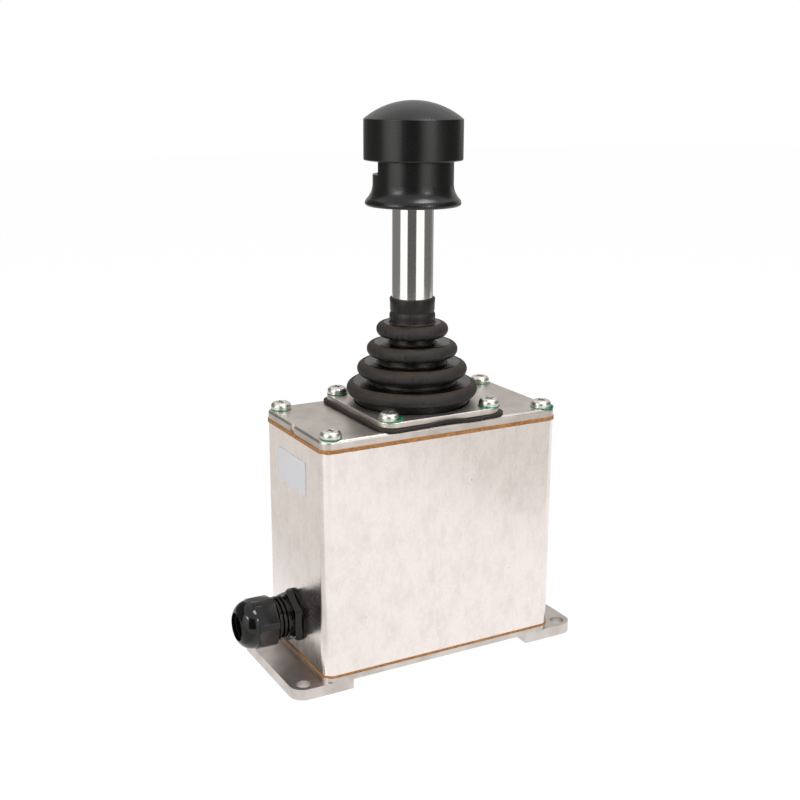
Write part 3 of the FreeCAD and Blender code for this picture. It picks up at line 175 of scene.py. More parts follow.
def noise(tree, size, detail, stretch=(1.0, 1.0, 1.0), roughness=0.5):
    """Noise with features of this many millimetres, drawn out where its stretch is under 1."""
    where = add(tree, "ShaderNodeTexCoord").outputs["Object"]
    drawn = add(tree, "ShaderNodeMapping", [(where, "Vector")], scale=stretch)
    made = add(tree, "ShaderNodeTexNoise", [(drawn.outputs[0], "Vector")], scale=1.0 / (size * MM),
               detail=detail, roughness=roughness)
    return made.outputs["Fac"]


def tones(tree, source, shade, colour, low, high):
    """Two colours that blend between two levels of a noise."""
    ramp = add(tree, "ShaderNodeValToRGB", [(source, "Fac")])
    for element, place, code in zip(ramp.color_ramp.elements, (low, high), (shade, colour)):
        element.position = place
        element.color = linear(code)
    return ramp.outputs[0]


def vary_roughness(tree, shader, source, low, high, **limits):
    """Lets a noise move the roughness between two values."""
    rough = add(tree, "ShaderNodeMapRange", [(source, "Value")], to_min=low, to_max=high, **limits)
    tree.links.new(rough.outputs[0], shader.inputs["Roughness"])


def raise_grain(tree, shader, source, strength):
    """Lets a noise raise the surface by up to a tenth of a millimetre."""
    bump = add(tree, "ShaderNodeBump", [(source, "Height")], strength=strength, distance=0.1 * MM)
    tree.links.new(bump.outputs[0], shader.inputs["Normal"])


def multiply(tree, first, second):
    return add(tree, "ShaderNodeMath", [(first, 0), (second, 1)], operation="MULTIPLY").outputs[0]


def total(tree, first, second):
    return add(tree, "ShaderNodeMath", [(first, 0), (second, 1)], operation="ADD").outputs[0]


def extruded_aluminium(colours):
    """Drawn and etched aluminium: pale, with fine upright die lines, soft patches and rare pits."""
    made, tree, shader = material("Etched extruded aluminium", colours.tub_colour, 1.0, 0.3)
    streaks = noise(tree, 0.9, 4.0, (1.0, 1.0, 0.03), 0.65)
    cloud = noise(tree, 6.0, 8.0, (1.0, 1.0, 0.55), 0.75)
    pits = noise(tree, 2.2, 1.0)
    spots = add(tree, "ShaderNodeMapRange", [(pits, "Value")],
                from_min=0.16, from_max=0.2, to_min=0.75, to_max=0.0)
    etched = tones(tree, cloud, colours.tub_shade, colours.tub_colour, 0.32, 0.56)
    mixed = add(tree, "ShaderNodeMixRGB", [(spots.outputs[0], "Fac"), (etched, "Color1")],
                color2=linear(colours.pit_colour))
    tree.links.new(mixed.outputs[0], shader.inputs["Base Color"])
    vary_roughness(tree, shader, total(tree, streaks, cloud), 0.19, 0.31,
                   from_min=0.7, from_max=1.3)
    raise_grain(tree, shader, streaks, 0.16)
    return made


def milled_aluminium(colours):
    """Milled and lightly brushed aluminium: greyer, with short lines along X and soft stains."""
    made, tree, shader = material("Brushed milled aluminium", colours.lid_colour, 1.0, 0.36)
    brushed = noise(tree, 0.8, 4.0, (0.04, 1.0, 1.0))
    cloud = noise(tree, 14.0, 6.0, roughness=0.7)
    stained = tones(tree, cloud, colours.lid_shade, colours.lid_colour, 0.3, 0.62)
    tree.links.new(stained, shader.inputs["Base Color"])
    vary_roughness(tree, shader, brushed, 0.3, 0.46)
    raise_grain(tree, shader, brushed, 0.12)
    return made


def cast_aluminium(colours):
    """Sand cast aluminium, machined on its faces: satin grey with a fine grain."""
    made, tree, shader = material("Machined cast aluminium", colours.base_colour, 1.0, 0.3)
    grain = noise(tree, 0.7, 4.0)
    patches = tones(tree, noise(tree, 9.0, 5.0), colours.base_shade, colours.base_colour, 0.3, 0.6)
    tree.links.new(patches, shader.inputs["Base Color"])
    vary_roughness(tree, shader, grain, 0.3, 0.45)
    raise_grain(tree, shader, grain, 0.15)
    return made


def cork_rubber(colours):
    """Cork and rubber sheet, die cut: matt brown with slightly darker granules."""
    made, tree, shader = material("Die-cut cork rubber", colours.gasket_colour, 0.0, 0.75, 0.3)
    granules = tones(tree, noise(tree, 1.6, 3.0), colours.gasket_shade, colours.gasket_colour,
                     0.3, 0.65)
    tree.links.new(granules, shader.inputs["Base Color"])
    return made


def boot_rubber(colours):
    """Moulded chloroprene rubber: black and satin, with streaks of painted sheen in a lighter grey
    on the rims, and a brownish dust on what faces up. The piece's own rim and upward attributes say
    where."""
    made, tree, shader = material("Moulded chloroprene rubber", colours.rubber_colour, 0.0, 0.4,
                                  0.24)
    rim = add(tree, "ShaderNodeAttribute", attribute_name="rim").outputs["Fac"]
    upward = add(tree, "ShaderNodeAttribute", attribute_name="upward").outputs["Fac"]
    streaks = noise(tree, 1.6, 6.0, (1.0, 1.0, 0.2), 0.8)
    cloud = noise(tree, 6.0, 6.0, roughness=0.75)
    # Streaks of the painted sheen on the rims.
    sheen_streaks = add(tree, "ShaderNodeMapRange", [(streaks, "Value")],
                 from_min=0.35, from_max=0.65, to_min=0.3, to_max=1.1)
    dusty = add(tree, "ShaderNodeMapRange", [(cloud, "Value")], from_min=0.32, from_max=0.6)
    # grey is the share of painted sheen on the rims, brown the share of dust on what faces up.
    grey = multiply(tree, sheen_streaks.outputs[0], rim)
    brown = multiply(tree, dusty.outputs[0], upward)
    with_sheen = add(tree, "ShaderNodeMixRGB", [(grey, "Fac")], color1=linear(colours.rubber_colour),
               color2=linear(colours.rim_sheen_colour))
    tint = add(tree, "ShaderNodeMixRGB", [(brown, "Fac"), (with_sheen.outputs[0], "Color1")],
               color2=linear(colours.dust_colour))
    tree.links.new(tint.outputs[0], shader.inputs["Base Color"])
    vary_roughness(tree, shader, total(tree, grey, brown), 0.24, 0.7)
    return made


def knob_plastic(colours):
    """Moulded polyamide with a fine spark texture: satin black."""
    made, tree, shader = material("Spark-textured black polyamide", colours.knob_colour, 0.0, 0.3,
                                  0.47)
    grain = noise(tree, 0.45, 2.0)
    vary_roughness(tree, shader, grain, 0.23, 0.33)
    raise_grain(tree, shader, grain, 0.05)
    return made


def gland_nylon(colours):
    """Nylon from a polished mould: black and glossy, with faint flow waves."""
    made, tree, shader = material("Glossy moulded nylon", colours.gland_colour, 0.0, 0.1, 0.45)
    vary_roughness(tree, shader, noise(tree, 5.0, 2.0), 0.07, 0.15)
    return made


def hard_chrome(colours):
    """Ground and hard-chromed steel tube: a clear mirror with the finest grinding lines."""
    made, tree, shader = material("Hard chrome on ground steel", colours.chrome_colour, 1.0, 0.07)
    vary_roughness(tree, shader, noise(tree, 0.6, 2.0, (0.05, 0.05, 1.0)), 0.07, 0.13)
    return made


def zinc_plate(colours):
    """Bright zinc on cold-headed steel: pale, slightly clouded reflections."""
    made, tree, shader = material("Bright zinc plate", colours.zinc_colour, 1.0, 0.2)
    vary_roughness(tree, shader, noise(tree, 1.5, 4.0), 0.2, 0.38)
    return made


def thread_sealant(colours):
    """Dried green thread sealant squeezed from under a screw head: glossy, thicker and darker
    in places."""
    made, tree, shader = material("Dried thread sealant", colours.sealant_colour, 0.0, 0.3)
    depth = tones(tree, noise(tree, 1.8, 2.0), colours.sealant_shade, colours.sealant_colour,
                  0.35, 0.65)
    tree.links.new(depth, shader.inputs["Base Color"])
    return made


def paper_label(colours):
    """Blank white polyester label: smooth, slightly glossy, with a faint unevenness."""
    made, tree, shader = material("White polyester label", colours.label_colour, 0.0, 0.4)
    vary_roughness(tree, shader, noise(tree, 6.0, 3.0), 0.34, 0.5)
    return made


def ground_steel():
    """Ground steel of the hidden mechanism: an even satin grey."""
    return material("Ground steel", "#9A9A9C", 1.0, 0.34)[0]


def sintered_bronze():
    """Oil-filled sintered bronze bushes: dull brownish yellow."""
    return material("Sintered bronze", "#A9824A", 1.0, 0.45)[0]


def solder_mask():
    """Solder mask over a glass-epoxy board: dark green with a soft gloss."""
    return material("Green solder mask", "#14512C", 0.0, 0.35)[0]


def sensor_moulding():
    """Glass-filled moulding of the angle sensors: matt black."""
    return material("Glass-filled black moulding", "#151517", 0.0, 0.55)[0]


def terminal_moulding():
    """Nylon of the terminal block: plain satin green."""
    return material("Green moulded nylon", "#2E7A45", 0.0, 0.4)[0]


def deselect():
    bpy.ops.object.select_all(action="DESELECT")


def choose(piece):
    """Makes a piece the only selected one and the active one."""
    deselect()
    piece.select_set(True)
    bpy.context.view_layer.objects.active = piece


def apply(piece, modifier):
    """Makes a modifier's result the piece's own mesh."""
    choose(piece)
    bpy.ops.object.modifier_apply(modifier=modifier.name)


def paint(piece, finish):
    """Gives a piece one material."""
    piece.data.materials.clear()
    piece.data.materials.append(finish)


def settle(piece, body, nodes=()):
    """Puts a finished piece on its body and lets it stand for the solids that it replaces."""
    choose(piece)
    bpy.ops.object.transform_apply(location=True, rotation=True, scale=True)
    if body:
        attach(piece, body)
    if nodes:
        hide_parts(*nodes)


def smooth(piece, angle=35.0):
    """Smooths what bends by less than this many degrees."""
    choose(piece)
    bpy.ops.object.shade_smooth_by_angle(angle=math.radians(angle))


def keep_flat(piece):
    """Weighs the normals by area, so that flat faces between broken edges mirror like flats."""
    weighted = piece.modifiers.new("Flat faces", "WEIGHTED_NORMAL")
    weighted.keep_sharp = True
    apply(piece, weighted)


def soften(piece, width, segments=2, angle=40.0):
    """Breaks a piece's sharp edges by a width in millimetres."""
    bevel = piece.modifiers.new("Edge break", "BEVEL")
    bevel.width = width * MM
    bevel.segments = segments
    bevel.limit_method = "ANGLE"
    bevel.angle_limit = math.radians(angle)
    bevel.use_clamp_overlap = True
    apply(piece, bevel)


def merged_copy(node, name):
    """A copy of a solid with its loose triangles joined and its flat faces made whole."""
    choose(frame["nodes"][node])
    bpy.ops.object.duplicate()
    piece = bpy.context.object
    bpy.ops.object.parent_clear(type="CLEAR_KEEP_TRANSFORM")
    piece.name = name
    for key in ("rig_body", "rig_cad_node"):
        if key in piece:
            del piece[key]
    if piece.data.has_custom_normals:
        bpy.ops.mesh.customdata_custom_splitnormals_clear()
    bpy.ops.object.mode_set(mode="EDIT")
    bpy.ops.mesh.select_all(action="SELECT")
    bpy.ops.mesh.remove_doubles(threshold=0.00001)
    bpy.ops.mesh.dissolve_limited(angle_limit=math.radians(0.3))
    bpy.ops.object.mode_set(mode="OBJECT")
    return piece


def dress(node, name, body, finish, edge=0.0, segments=2):
    """A solid's copy with broken edges, smooth curves and its finish."""
    piece = merged_copy(node, name)
    if edge > 0:
        soften(piece, edge, segments)
    smooth(piece)
    keep_flat(piece)
    paint(piece, finish)
    settle(piece, body, (node,))


def lathe(name, profile, steps):
    """Spins a profile of (radius, height) in millimetres once about Z, point by point."""
    deselect()
    bpy.ops.mesh.primitive_plane_add(size=MM)
    piece = bpy.context.object
    piece.name = name
    bpy.ops.object.mode_set(mode="EDIT")
    bpy.ops.mesh.select_mode(type="VERT")
    bpy.ops.mesh.select_all(action="SELECT")
    bpy.ops.mesh.merge(type="CENTER")
    bpy.ops.transform.translate(value=(profile[0][0] * MM, 0, profile[0][1] * MM))
    for before, after in zip(profile, profile[1:]):
        move = ((after[0] - before[0]) * MM, 0, (after[1] - before[1]) * MM)
        bpy.ops.mesh.extrude_region_move(TRANSFORM_OT_translate={"value": move})
    bpy.ops.mesh.select_all(action="SELECT")
    bpy.ops.mesh.spin(steps=steps, angle=math.tau, center=(0, 0, 0), axis=(0, 0, 1))
    bpy.ops.mesh.select_all(action="SELECT")
    bpy.ops.mesh.remove_doubles(threshold=0.000005)
    bpy.ops.mesh.normals_make_consistent(inside=False)
    bpy.ops.object.mode_set(mode="OBJECT")
    return piece


def arc(centre, radius, start, end, count):
    """Points of an arc in a profile, from one angle to another in degrees."""
    points = []
    for step in range(count + 1):
        angle = math.radians(start + (end - start) * step / count)
        points.append((centre[0] + radius * math.cos(angle), centre[1] + radius * math.sin(angle)))
    return points


class JoystickSizes(bpy.types.PropertyGroup):
    """Sizes that the finished pieces are made from."""

    edge_break: bpy.props.FloatProperty(
        name="Edge break", description="Width of the broken edges on the box and its base",
        default=0.3 * MM, min=0.05 * MM, max=1.0 * MM, unit="LENGTH", precision=5)
    lathe_steps: bpy.props.IntProperty(
        name="Turning steps", description="Steps round the boot",
        default=96, min=24, max=256)
    ring_round: bpy.props.FloatProperty(
        name="Ring rounding", description="Radius of a bellows ring's rim",
        default=3.3 * MM, min=1.0 * MM, max=4.0 * MM, unit="LENGTH", precision=5)
    boot_wall: bpy.props.FloatProperty(
        name="Boot wall", description="Thickness of the boot's rubber",
        default=1.0 * MM, min=0.6 * MM, max=2.0 * MM, unit="LENGTH", precision=5)
    sealant_width: bpy.props.FloatProperty(
        name="Sealant width", description="How far sealant shows round a screw head",
        default=0.6 * MM, min=0.0, max=1.5 * MM, unit="LENGTH", precision=5)
    nut_turned: bpy.props.FloatProperty(
        name="Nut turning", description="Radius to which the gland nut's corners are turned",
        default=11.9 * MM, min=11.2 * MM, max=12.6 * MM, unit="LENGTH", precision=5)


class JoystickColours(bpy.types.PropertyGroup):
    """Colours as sRGB hex values."""

    tub_colour: bpy.props.StringProperty(
        name="Box", description="Etched aluminium of the box", default="#F1E8E4")
    tub_shade: bpy.props.StringProperty(
        name="Box patches", description="Darker patches of the box", default="#E4DBD6")
    pit_colour: bpy.props.StringProperty(
        name="Box pits", description="Rare etched pits of the box", default="#8F8883")
    lid_colour: bpy.props.StringProperty(
        name="Lid", description="Milled aluminium of the lid and plate", default="#D1CAC4")
    lid_shade: bpy.props.StringProperty(
        name="Lid stains", description="Darker patches of the lid and plate", default="#BAB2AB")
    base_colour: bpy.props.StringProperty(
        name="Base", description="Cast aluminium of the base", default="#D3CBC6")
    base_shade: bpy.props.StringProperty(
        name="Base patches", description="Darker patches of the base", default="#BCB4AE")
    gasket_colour: bpy.props.StringProperty(
        name="Gaskets", description="Cork rubber of the gaskets", default="#B07C48")
    gasket_shade: bpy.props.StringProperty(
        name="Gasket granules", description="Darker granules of the gaskets", default="#8C5E33")
    rubber_colour: bpy.props.StringProperty(
        name="Boot", description="Rubber of the boot", default="#080808")
    # A lighter grey painted on the bellows' rims, sleeve and flange foot: painted sheen where they
    # face the light.
    rim_sheen_colour: bpy.props.StringProperty(
        name="Boot rims", description="Painted sheen on the bellows rims", default="#302F2E")
    dust_colour: bpy.props.StringProperty(
        name="Boot dust", description="Dust on the boot's upper sides", default="#3D3227")
    knob_colour: bpy.props.StringProperty(
        name="Knob", description="Plastic of the knob and collar", default="#080707")
    chrome_colour: bpy.props.StringProperty(
        name="Lever", description="Chrome of the lever", default="#F0EEEB")
    zinc_colour: bpy.props.StringProperty(
        name="Screws", description="Zinc plate of the screws", default="#DCDAD3")
    gland_colour: bpy.props.StringProperty(
        name="Gland", description="Nylon of the cable gland", default="#060606")
    sealant_colour: bpy.props.StringProperty(
        name="Sealant", description="Thread sealant round the screws", default="#2C8F6C")
    sealant_shade: bpy.props.StringProperty(
        name="Thick sealant", description="Where the sealant lies thick", default="#12573F")
    label_colour: bpy.props.StringProperty(
        name="Label", description="White film of the blank label", default="#D0D0D3")


def choices():
    """The sizes and colours that are set in the scene."""
    return bpy.context.scene.joystick_sizes, bpy.context.scene.joystick_colours


class JOYSTICK_OT_box(bpy.types.Operator):
    """Finish the box, its base, its lid and the two gaskets"""

    bl_idname = "joystick.box"
    bl_label = "Box"

    def execute(self, context):
        sizes, colours = choices()
        edge = sizes.edge_break / MM
        dress("housing_tube", "box_tube", "root",
              extruded_aluminium(colours), edge)
        dress("base_plate", "box_base", "root", cast_aluminium(colours), edge)
        cork = cork_rubber(colours)
        dress("base_gasket", "box_base_gasket", "root", cork, 0.2)
        dress("lid_gasket", "box_lid_gasket", "root", cork, 0.2)
        milled = milled_aluminium(colours)
        dress("lid", "box_lid", "root", milled, 0.15)
        dress("boot_retainer_plate", "boot_plate", "root", milled, 0.15)
        return {"FINISHED"}


def sealant_ring(name, place, width, finish, side, reach):
    """A low ring of squeezed-out sealant. It spreads further, and heaps up, towards one side."""
    profile = [(SCREW_HEAD - 0.6, 0.0), (SCREW_HEAD + width, 0.0),
               (SCREW_HEAD + width * 0.8, 0.25), (SCREW_HEAD - 0.1, 0.45),
               (SCREW_HEAD - 0.6, 0.3), (SCREW_HEAD - 0.6, 0.0)]
    ring = lathe(name, profile, 48)
    way = Vector((math.cos(side), math.sin(side), 0))
    for vertex in ring.data.vertices:
        flat = Vector((vertex.co.x, vertex.co.y, 0))
        facing = max(0.0, flat.normalized().dot(way)) ** 3
        if flat.length > (SCREW_HEAD - 0.2) * MM:
            vertex.co += flat.normalized() * facing * reach * MM
            vertex.co.z *= 1 + facing * reach * 1.6
    ring.location = tuple(part * MM for part in place)
    smooth(ring, 60)
    paint(ring, finish)
    settle(ring, "root")


class JOYSTICK_OT_screws(bpy.types.Operator):
    """Finish the pan head screws and the sealant that shows round some of them"""

    bl_idname = "joystick.screws"
    bl_label = "Screws"

    def execute(self, context):
        sizes, colours = choices()
        zinc = zinc_plate(colours)
        for node in ("lid_screws", "retainer_screws", "base_screws"):
            dress(node, node + "_zinc", "root", zinc, 0.12)
        green = thread_sealant(colours)
        width = sizes.sealant_width / MM
        on_lid = (LID_SCREW_X, LID_SCREW_Y, LID_TOP + 0.01)
        on_plate = (PLATE_SCREW, PLATE_SCREW, PLATE_TOP + 0.01)
        # Piece, place, sides of X and Y, share of the width, the side it spreads to, how far.
        spots = [("lid_front_right", on_lid, 1, -1, 0.6, -40, 0.9),
                 ("lid_back_right", on_lid, 1, 1, 0.8, -150, 0.5),
                 ("lid_front_left", on_lid, -1, -1, 0.35, -120, 0.15),
                 ("lid_back_left", on_lid, -1, 1, 0.2, -120, 0.1),
                 ("plate_front_left", on_plate, -1, -1, 0.35, -35, 1.6),
                 ("plate_front_right", on_plate, 1, -1, 0.5, -160, 0.4),
                 ("plate_back_left", on_plate, -1, 1, 0.35, -100, 0.2),
                 ("plate_back_right", on_plate, 1, 1, 0.3, -60, 0.2)]
        for name, (x, y, level), right, back, share, side, reach in spots:
            sealant_ring("sealant_" + name, (right * x, back * y, level), width * share, green,
                         math.radians(side), reach)
        return {"FINISHED"}


def neck_wall(wall, level):
    """The boot's wall at a level."""
    return wall * (THIN_SHARE if abs(level - BOOT_SPLIT) < THIN_REACH else 1.0)


def bellows_profile(rim, wall, low, high):
    """Outer side, then inner side, of the bellows between two levels."""
    outer = [(BOOT_FOOT, LID_TOP + 0.8), (BOOT_FOOT, PLATE_TOP + 0.2)]
    below = None
    for radius, level, neck in BOOT_RINGS:
        if below:
            outer += [(below, level - rim + 0.15), (below + 0.5, level - rim - 0.05)]
        outer += arc((radius - rim, level), rim, -90, 78, 14)
        outer += [(radius - rim - 1.0, level + rim * 0.97), (neck + 1.0, level + rim * 0.92),
                  (neck + 0.3, level + rim * 0.99), (neck, level + rim * 1.2)]
        below = neck
    outer += SLEEVE
    inner = [(max(radius - neck_wall(wall, level), LEVER_CLEARED), level)
             for radius, level in outer]
    keep = [pair for pair in zip(outer, inner) if low <= pair[0][1] <= high]
    return [pair[0] for pair in keep], [pair[1] for pair in keep]


def mark_sheen_and_dust(piece, round_rim):
    """Writes where a rubber piece gets painted sheen, on its rims, and where it faces up and
    gathers dust.
    """
    # rim holds the share of painted sheen, upward the share of dust.
    rim = piece.data.attributes.new("rim", "FLOAT", "POINT")
    upward = piece.data.attributes.new("upward", "FLOAT", "POINT")
    for vertex in piece.data.vertices:
        r, z = vertex.co.xy.length / MM, vertex.co.z / MM
        share = 0.0
        for radius, level, _ in BOOT_RINGS:
            away = math.hypot(r - (radius - round_rim), z - level)
            if abs(away - round_rim) < 0.3 and r > radius - round_rim:
                share = max(share, (r - radius + round_rim) / round_rim)
        # The sleeve and the flange's foot get half the painted sheen.
        if z > BOOT_RINGS[-1][1] + round_rim or z < PLATE_TOP - 1:
            share = 0.5
        rim.data[vertex.index].value = share
        upward.data[vertex.index].value = max(0.0, vertex.normal.z)


class JOYSTICK_OT_boot(bpy.types.Operator):
    """Mould the rubber boot in two pieces, and its square flange"""

    bl_idname = "joystick.boot"
    bl_label = "Rubber boot"

    def execute(self, context):
        sizes, colours = choices()
        rubber = boot_rubber(colours)
        rim, wall = sizes.ring_round / MM, sizes.boot_wall / MM
        neck = BOOT_RINGS[0][2]
        cut = [(neck, BOOT_SPLIT), (neck - neck_wall(wall, BOOT_SPLIT), BOOT_SPLIT)]
        outer, inner = bellows_profile(rim, wall, 0, BOOT_SPLIT)
        lower = lathe("boot_lower", outer + cut + inner[::-1] + outer[:1], sizes.lathe_steps)
        self.finish_bellows(lower, rubber, rim)
        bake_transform(lower)
        outer, inner = bellows_profile(rim, wall, BOOT_SPLIT, BOOT_TOP)
        upper = lathe("boot_upper", cut[:1] + outer + inner[::-1] + cut[::-1],
                      sizes.lathe_steps)
        self.finish_bellows(upper, rubber, rim)
        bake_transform(upper)
        flange = self.flange_sheet()
        self.hang(flange)
        soften(flange, 0.4, 3)
        smooth(flange, 50)
        mark_sheen_and_dust(flange, rim)
        paint(flange, rubber)
        settle(flange, "root", ("rubber_boot",))
        return {"FINISHED"}

    def finish_bellows(self, piece, rubber, rim):
        smooth(piece, 60)
        mark_sheen_and_dust(piece, rim)
        paint(piece, rubber)
        settle(piece, None, ("rubber_boot",))

    def half(self):
        """Half the flange's side, a tenth inside the solid's."""
        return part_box("rubber_boot")[1].x / MM - 0.1

    def flange_sheet(self):
        """A square sheet on the lid, as thick as the gap under the plate, open in the middle."""
        deselect()
        bpy.ops.mesh.primitive_plane_add(size=2 * self.half() * MM,
                                         location=(0, 0, (LID_TOP + 0.02) * MM))
        sheet = bpy.context.object
        sheet.name = "boot_flange"
        bpy.ops.object.mode_set(mode="EDIT")
        bpy.ops.mesh.select_all(action="SELECT")
        bpy.ops.mesh.subdivide(number_cuts=24)
        bpy.ops.mesh.select_mode(type="FACE")
        bpy.ops.mesh.select_all(action="DESELECT")
        bpy.ops.object.mode_set(mode="OBJECT")
        for polygon in sheet.data.polygons:
            centre = polygon.center
            polygon.select = max(abs(centre.x), abs(centre.y)) < FLANGE_OPENING * MM
        bpy.ops.object.mode_set(mode="EDIT")
        bpy.ops.mesh.delete(type="FACE")
        bpy.ops.mesh.select_all(action="SELECT")
        bpy.ops.mesh.extrude_region_move(
            TRANSFORM_OT_translate={"value": (0, 0, (FLANGE_TOP - LID_TOP - 0.04) * MM)})
        bpy.ops.mesh.select_all(action="SELECT")
        bpy.ops.mesh.normals_make_consistent(inside=False)
        bpy.ops.object.mode_set(mode="OBJECT")
        return sheet

    def hang(self, sheet):
        """Rounds the sheet's corners. Its free edge swells between the screws, hangs over the
        lid's edge at the front and is pinched in the middle."""
        flat = self.half() - FLANGE_CORNER
        middle = (LID_TOP + FLANGE_TOP) / 2 * MM
        for vertex in sheet.data.vertices:
            x, y = vertex.co.x / MM, vertex.co.y / MM
            over = Vector((max(0.0, abs(x) - flat), max(0.0, abs(y) - flat)))
            square = max(over.x, over.y)
            if over.x > 0 and over.y > 0:
                over = over.normalized() * square
                x = math.copysign(flat + over.x, x)
                y = math.copysign(flat + over.y, y)
            edge = max(0.0, square - FLANGE_CORNER + HANGING_BAND) / HANGING_BAND
            hung = self.hung_by(x, y) * edge ** 2
            under = vertex.co.z < middle
            vertex.co.x, vertex.co.y = x * MM, y * MM
            if y < -UNDER_PLATE or x < -UNDER_PLATE and under:
                vertex.co.z -= hung * (1.0 if under else max(0.0, 0.35 * hung)) * MM

    def hung_by(self, x, y):
        """How far the sheet's free edge hangs, in millimetres, along the front and the left."""
        line, along = (FRONT_HANG, x) if y < -UNDER_PLATE else (LEFT_HANG, y)
        for (a, low), (b, high) in zip(line, line[1:]):
            if a <= along <= b:
                share = (1 - math.cos(math.pi * (along - a) / (b - a))) / 2
                return low + (high - low) * share
        return line[-1][1]


class JOYSTICK_OT_lever(bpy.types.Operator):
    """Polish the lever"""

    bl_idname = "joystick.lever"
    bl_label = "Lever"

    def execute(self, context):
        colours = choices()[1]
        dress("handle_rod", "lever_chrome", "handle", hard_chrome(colours))
        return {"FINISHED"}


class JOYSTICK_OT_knob(bpy.types.Operator):
    """Finish the domed knob and its lifting collar"""

    bl_idname = "joystick.knob"
    bl_label = "Knob and collar"

    def execute(self, context):
        colours = choices()[1]
        black = knob_plastic(colours)
        dress("knob_cap", "knob_cap_black", "handle", black, 0.7, 4)
        dress("lift_collar", "lift_collar_black", "collar", black, 0.35, 3)
        return {"FINISHED"}


class JOYSTICK_OT_gland(bpy.types.Operator):
    """Finish the cable gland: the nut's cut corners and the thread that shows behind it"""

    bl_idname = "joystick.gland"
    bl_label = "Cable gland"

    def execute(self, context):
        sizes, colours = choices()
        nylon = gland_nylon(colours)
        dress("gland_body", "gland_body_nylon", "root", nylon, 0.3)
        self.nut(nylon, sizes.nut_turned)
        self.thread(nylon)
        rubber = boot_rubber(colours)
        dress("gland_sealing_ring", "gland_ring_rubber", "root", rubber, 0.2)
        dress("gland_seal", "gland_seal_rubber", "root", rubber, 0.2)
        return {"FINISHED"}

    def nut(self, nylon, radius):
        """The domed nut, with the corners of its hexagon turned down to narrow strips."""
        piece = merged_copy("gland_dome_nut", "gland_nut_nylon")
        low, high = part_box("gland_dome_nut")
        deselect()
        bpy.ops.mesh.primitive_cylinder_add(
            vertices=128, radius=radius, depth=high.x - low.x + 4 * MM,
            rotation=(0, math.pi / 2, 0), location=(low + high) / 2)
        turned = bpy.context.object
        cut = piece.modifiers.new("Corners", "BOOLEAN")
        cut.operation = "INTERSECT"
        cut.object = turned
        apply(piece, cut)
        bpy.data.objects.remove(turned, do_unlink=True)
        soften(piece, 0.2, 2, 18)
        smooth(piece, 20)
        paint(piece, nylon)
        settle(piece, "root", ("gland_dome_nut",))

    def thread(self, nylon):
        """Three thread crests on the neck between the hexagon and the nut."""
        level = (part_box("gland_body")[0].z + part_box("gland_body")[1].z) / 2
        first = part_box("gland_dome_nut")[1].x / MM + THREAD_START
        for turn in range(3):
            ring = lathe("gland_thread_%d" % turn, THREAD_CREST, 72)
            ring.rotation_euler = (0, math.pi / 2, 0)
            ring.location = ((first + THREAD_PITCH * turn) * MM, 0, level)
            smooth(ring, 40)
            paint(ring, nylon)
            settle(ring, "root")


class JOYSTICK_OT_label(bpy.types.Operator):
    """Finish the blank label"""

    bl_idname = "joystick.label"
    bl_label = "Blank label"

    def execute(self, context):
        colours = choices()[1]
        paint(frame["nodes"]["rating_label"], paper_label(colours))
        return {"FINISHED"}


class JOYSTICK_OT_mechanism(bpy.types.Operator):
    """Give the gimbal, its bearings, springs, sensors and electronics their finishes"""

    bl_idname = "joystick.mechanism"
    bl_label = "Inner mechanism"

    def execute(self, context):
        colours = choices()[1]
        steel = ground_steel()
        finishes = {
            "gimbal_steel": steel, "spring_steel": steel, "bearing_bronze": sintered_bronze(),
            "zinc_screw": zinc_plate(colours), "sensor_plastic": sensor_moulding(),
            "board_laminate": solder_mask(), "terminal_plastic": terminal_moulding(),
            "gland_nylon": gland_nylon(colours), "knob_plastic": knob_plastic(colours),
        }
        slots = {part["node"]: part["material_slot"] for part in frame["record"]["subparts"]}
        for name, node in frame["nodes"].items():
            if not node.hide_render and slots[name] in finishes:
                paint(node, finishes[slots[name]])
        return {"FINISHED"}


def softbox(name, turn, rise, size, power):
    """A soft area lamp aimed at the boot, at a turn from the joystick's front and a rise above
    the table, both in degrees. Its size is in metres and its power in watts."""
    turn, rise = math.radians(turn), math.radians(rise)
    centre = Vector((0, 0, 0.13))
    away = 0.9
    way = Vector((math.sin(turn) * math.cos(rise), -math.cos(turn) * math.cos(rise),
                  math.sin(rise)))
    lamp = bpy.data.lights.new(name, "AREA")
    lamp.shape = "RECTANGLE"
    lamp.size, lamp.size_y = size
    lamp.energy = power
    item = bpy.data.objects.new(name, lamp)
    bpy.context.scene.collection.objects.link(item)
    item.location = centre + way * away
    item.rotation_euler = (-way).to_track_quat("-Z", "Y").to_euler()


def reflect_only(item, name, size, shade):
    """Makes a plane an even glowing card of this size that only reflections show."""
    item.name = name
    item.scale = size + (1,)
    made = bpy.data.materials.new(name)
    made.use_nodes = True
    tree = made.node_tree
    glow = add(tree, "ShaderNodeEmission", strength=shade, color=(1.0, 0.98, 0.95, 1))
    tree.links.new(glow.outputs[0], tree.nodes["Material Output"].inputs["Surface"])
    item.data.materials.append(made)
    for sort in ("camera", "diffuse", "shadow", "transmission"):
        setattr(item, "visible_" + sort, False)


def upright_card(name, start, end, bottom, top, shade, away=0.8):
    """A standing card for reflections: its range round the table in degrees from the camera's
    side, its range of height in metres, how bright it is and how far away it stands."""
    turn = math.radians((start + end) / 2 + CAMERA_SIDE)
    width = 2 * away * math.tan(math.radians((end - start) / 2))
    deselect()
    bpy.ops.mesh.primitive_plane_add(
        size=1.0, rotation=(math.pi / 2, 0, turn),
        location=(math.sin(turn) * away, -math.cos(turn) * away, (bottom + top) / 2))
    reflect_only(bpy.context.object, name, (width, top - bottom), shade)


def table_card(name, centre, size, shade):
    """A card that lies on the table and tones what one side of the box reflects."""
    deselect()
    bpy.ops.mesh.primitive_plane_add(size=1.0, location=centre + (0.2 * MM,))
    reflect_only(bpy.context.object, name, size, shade)


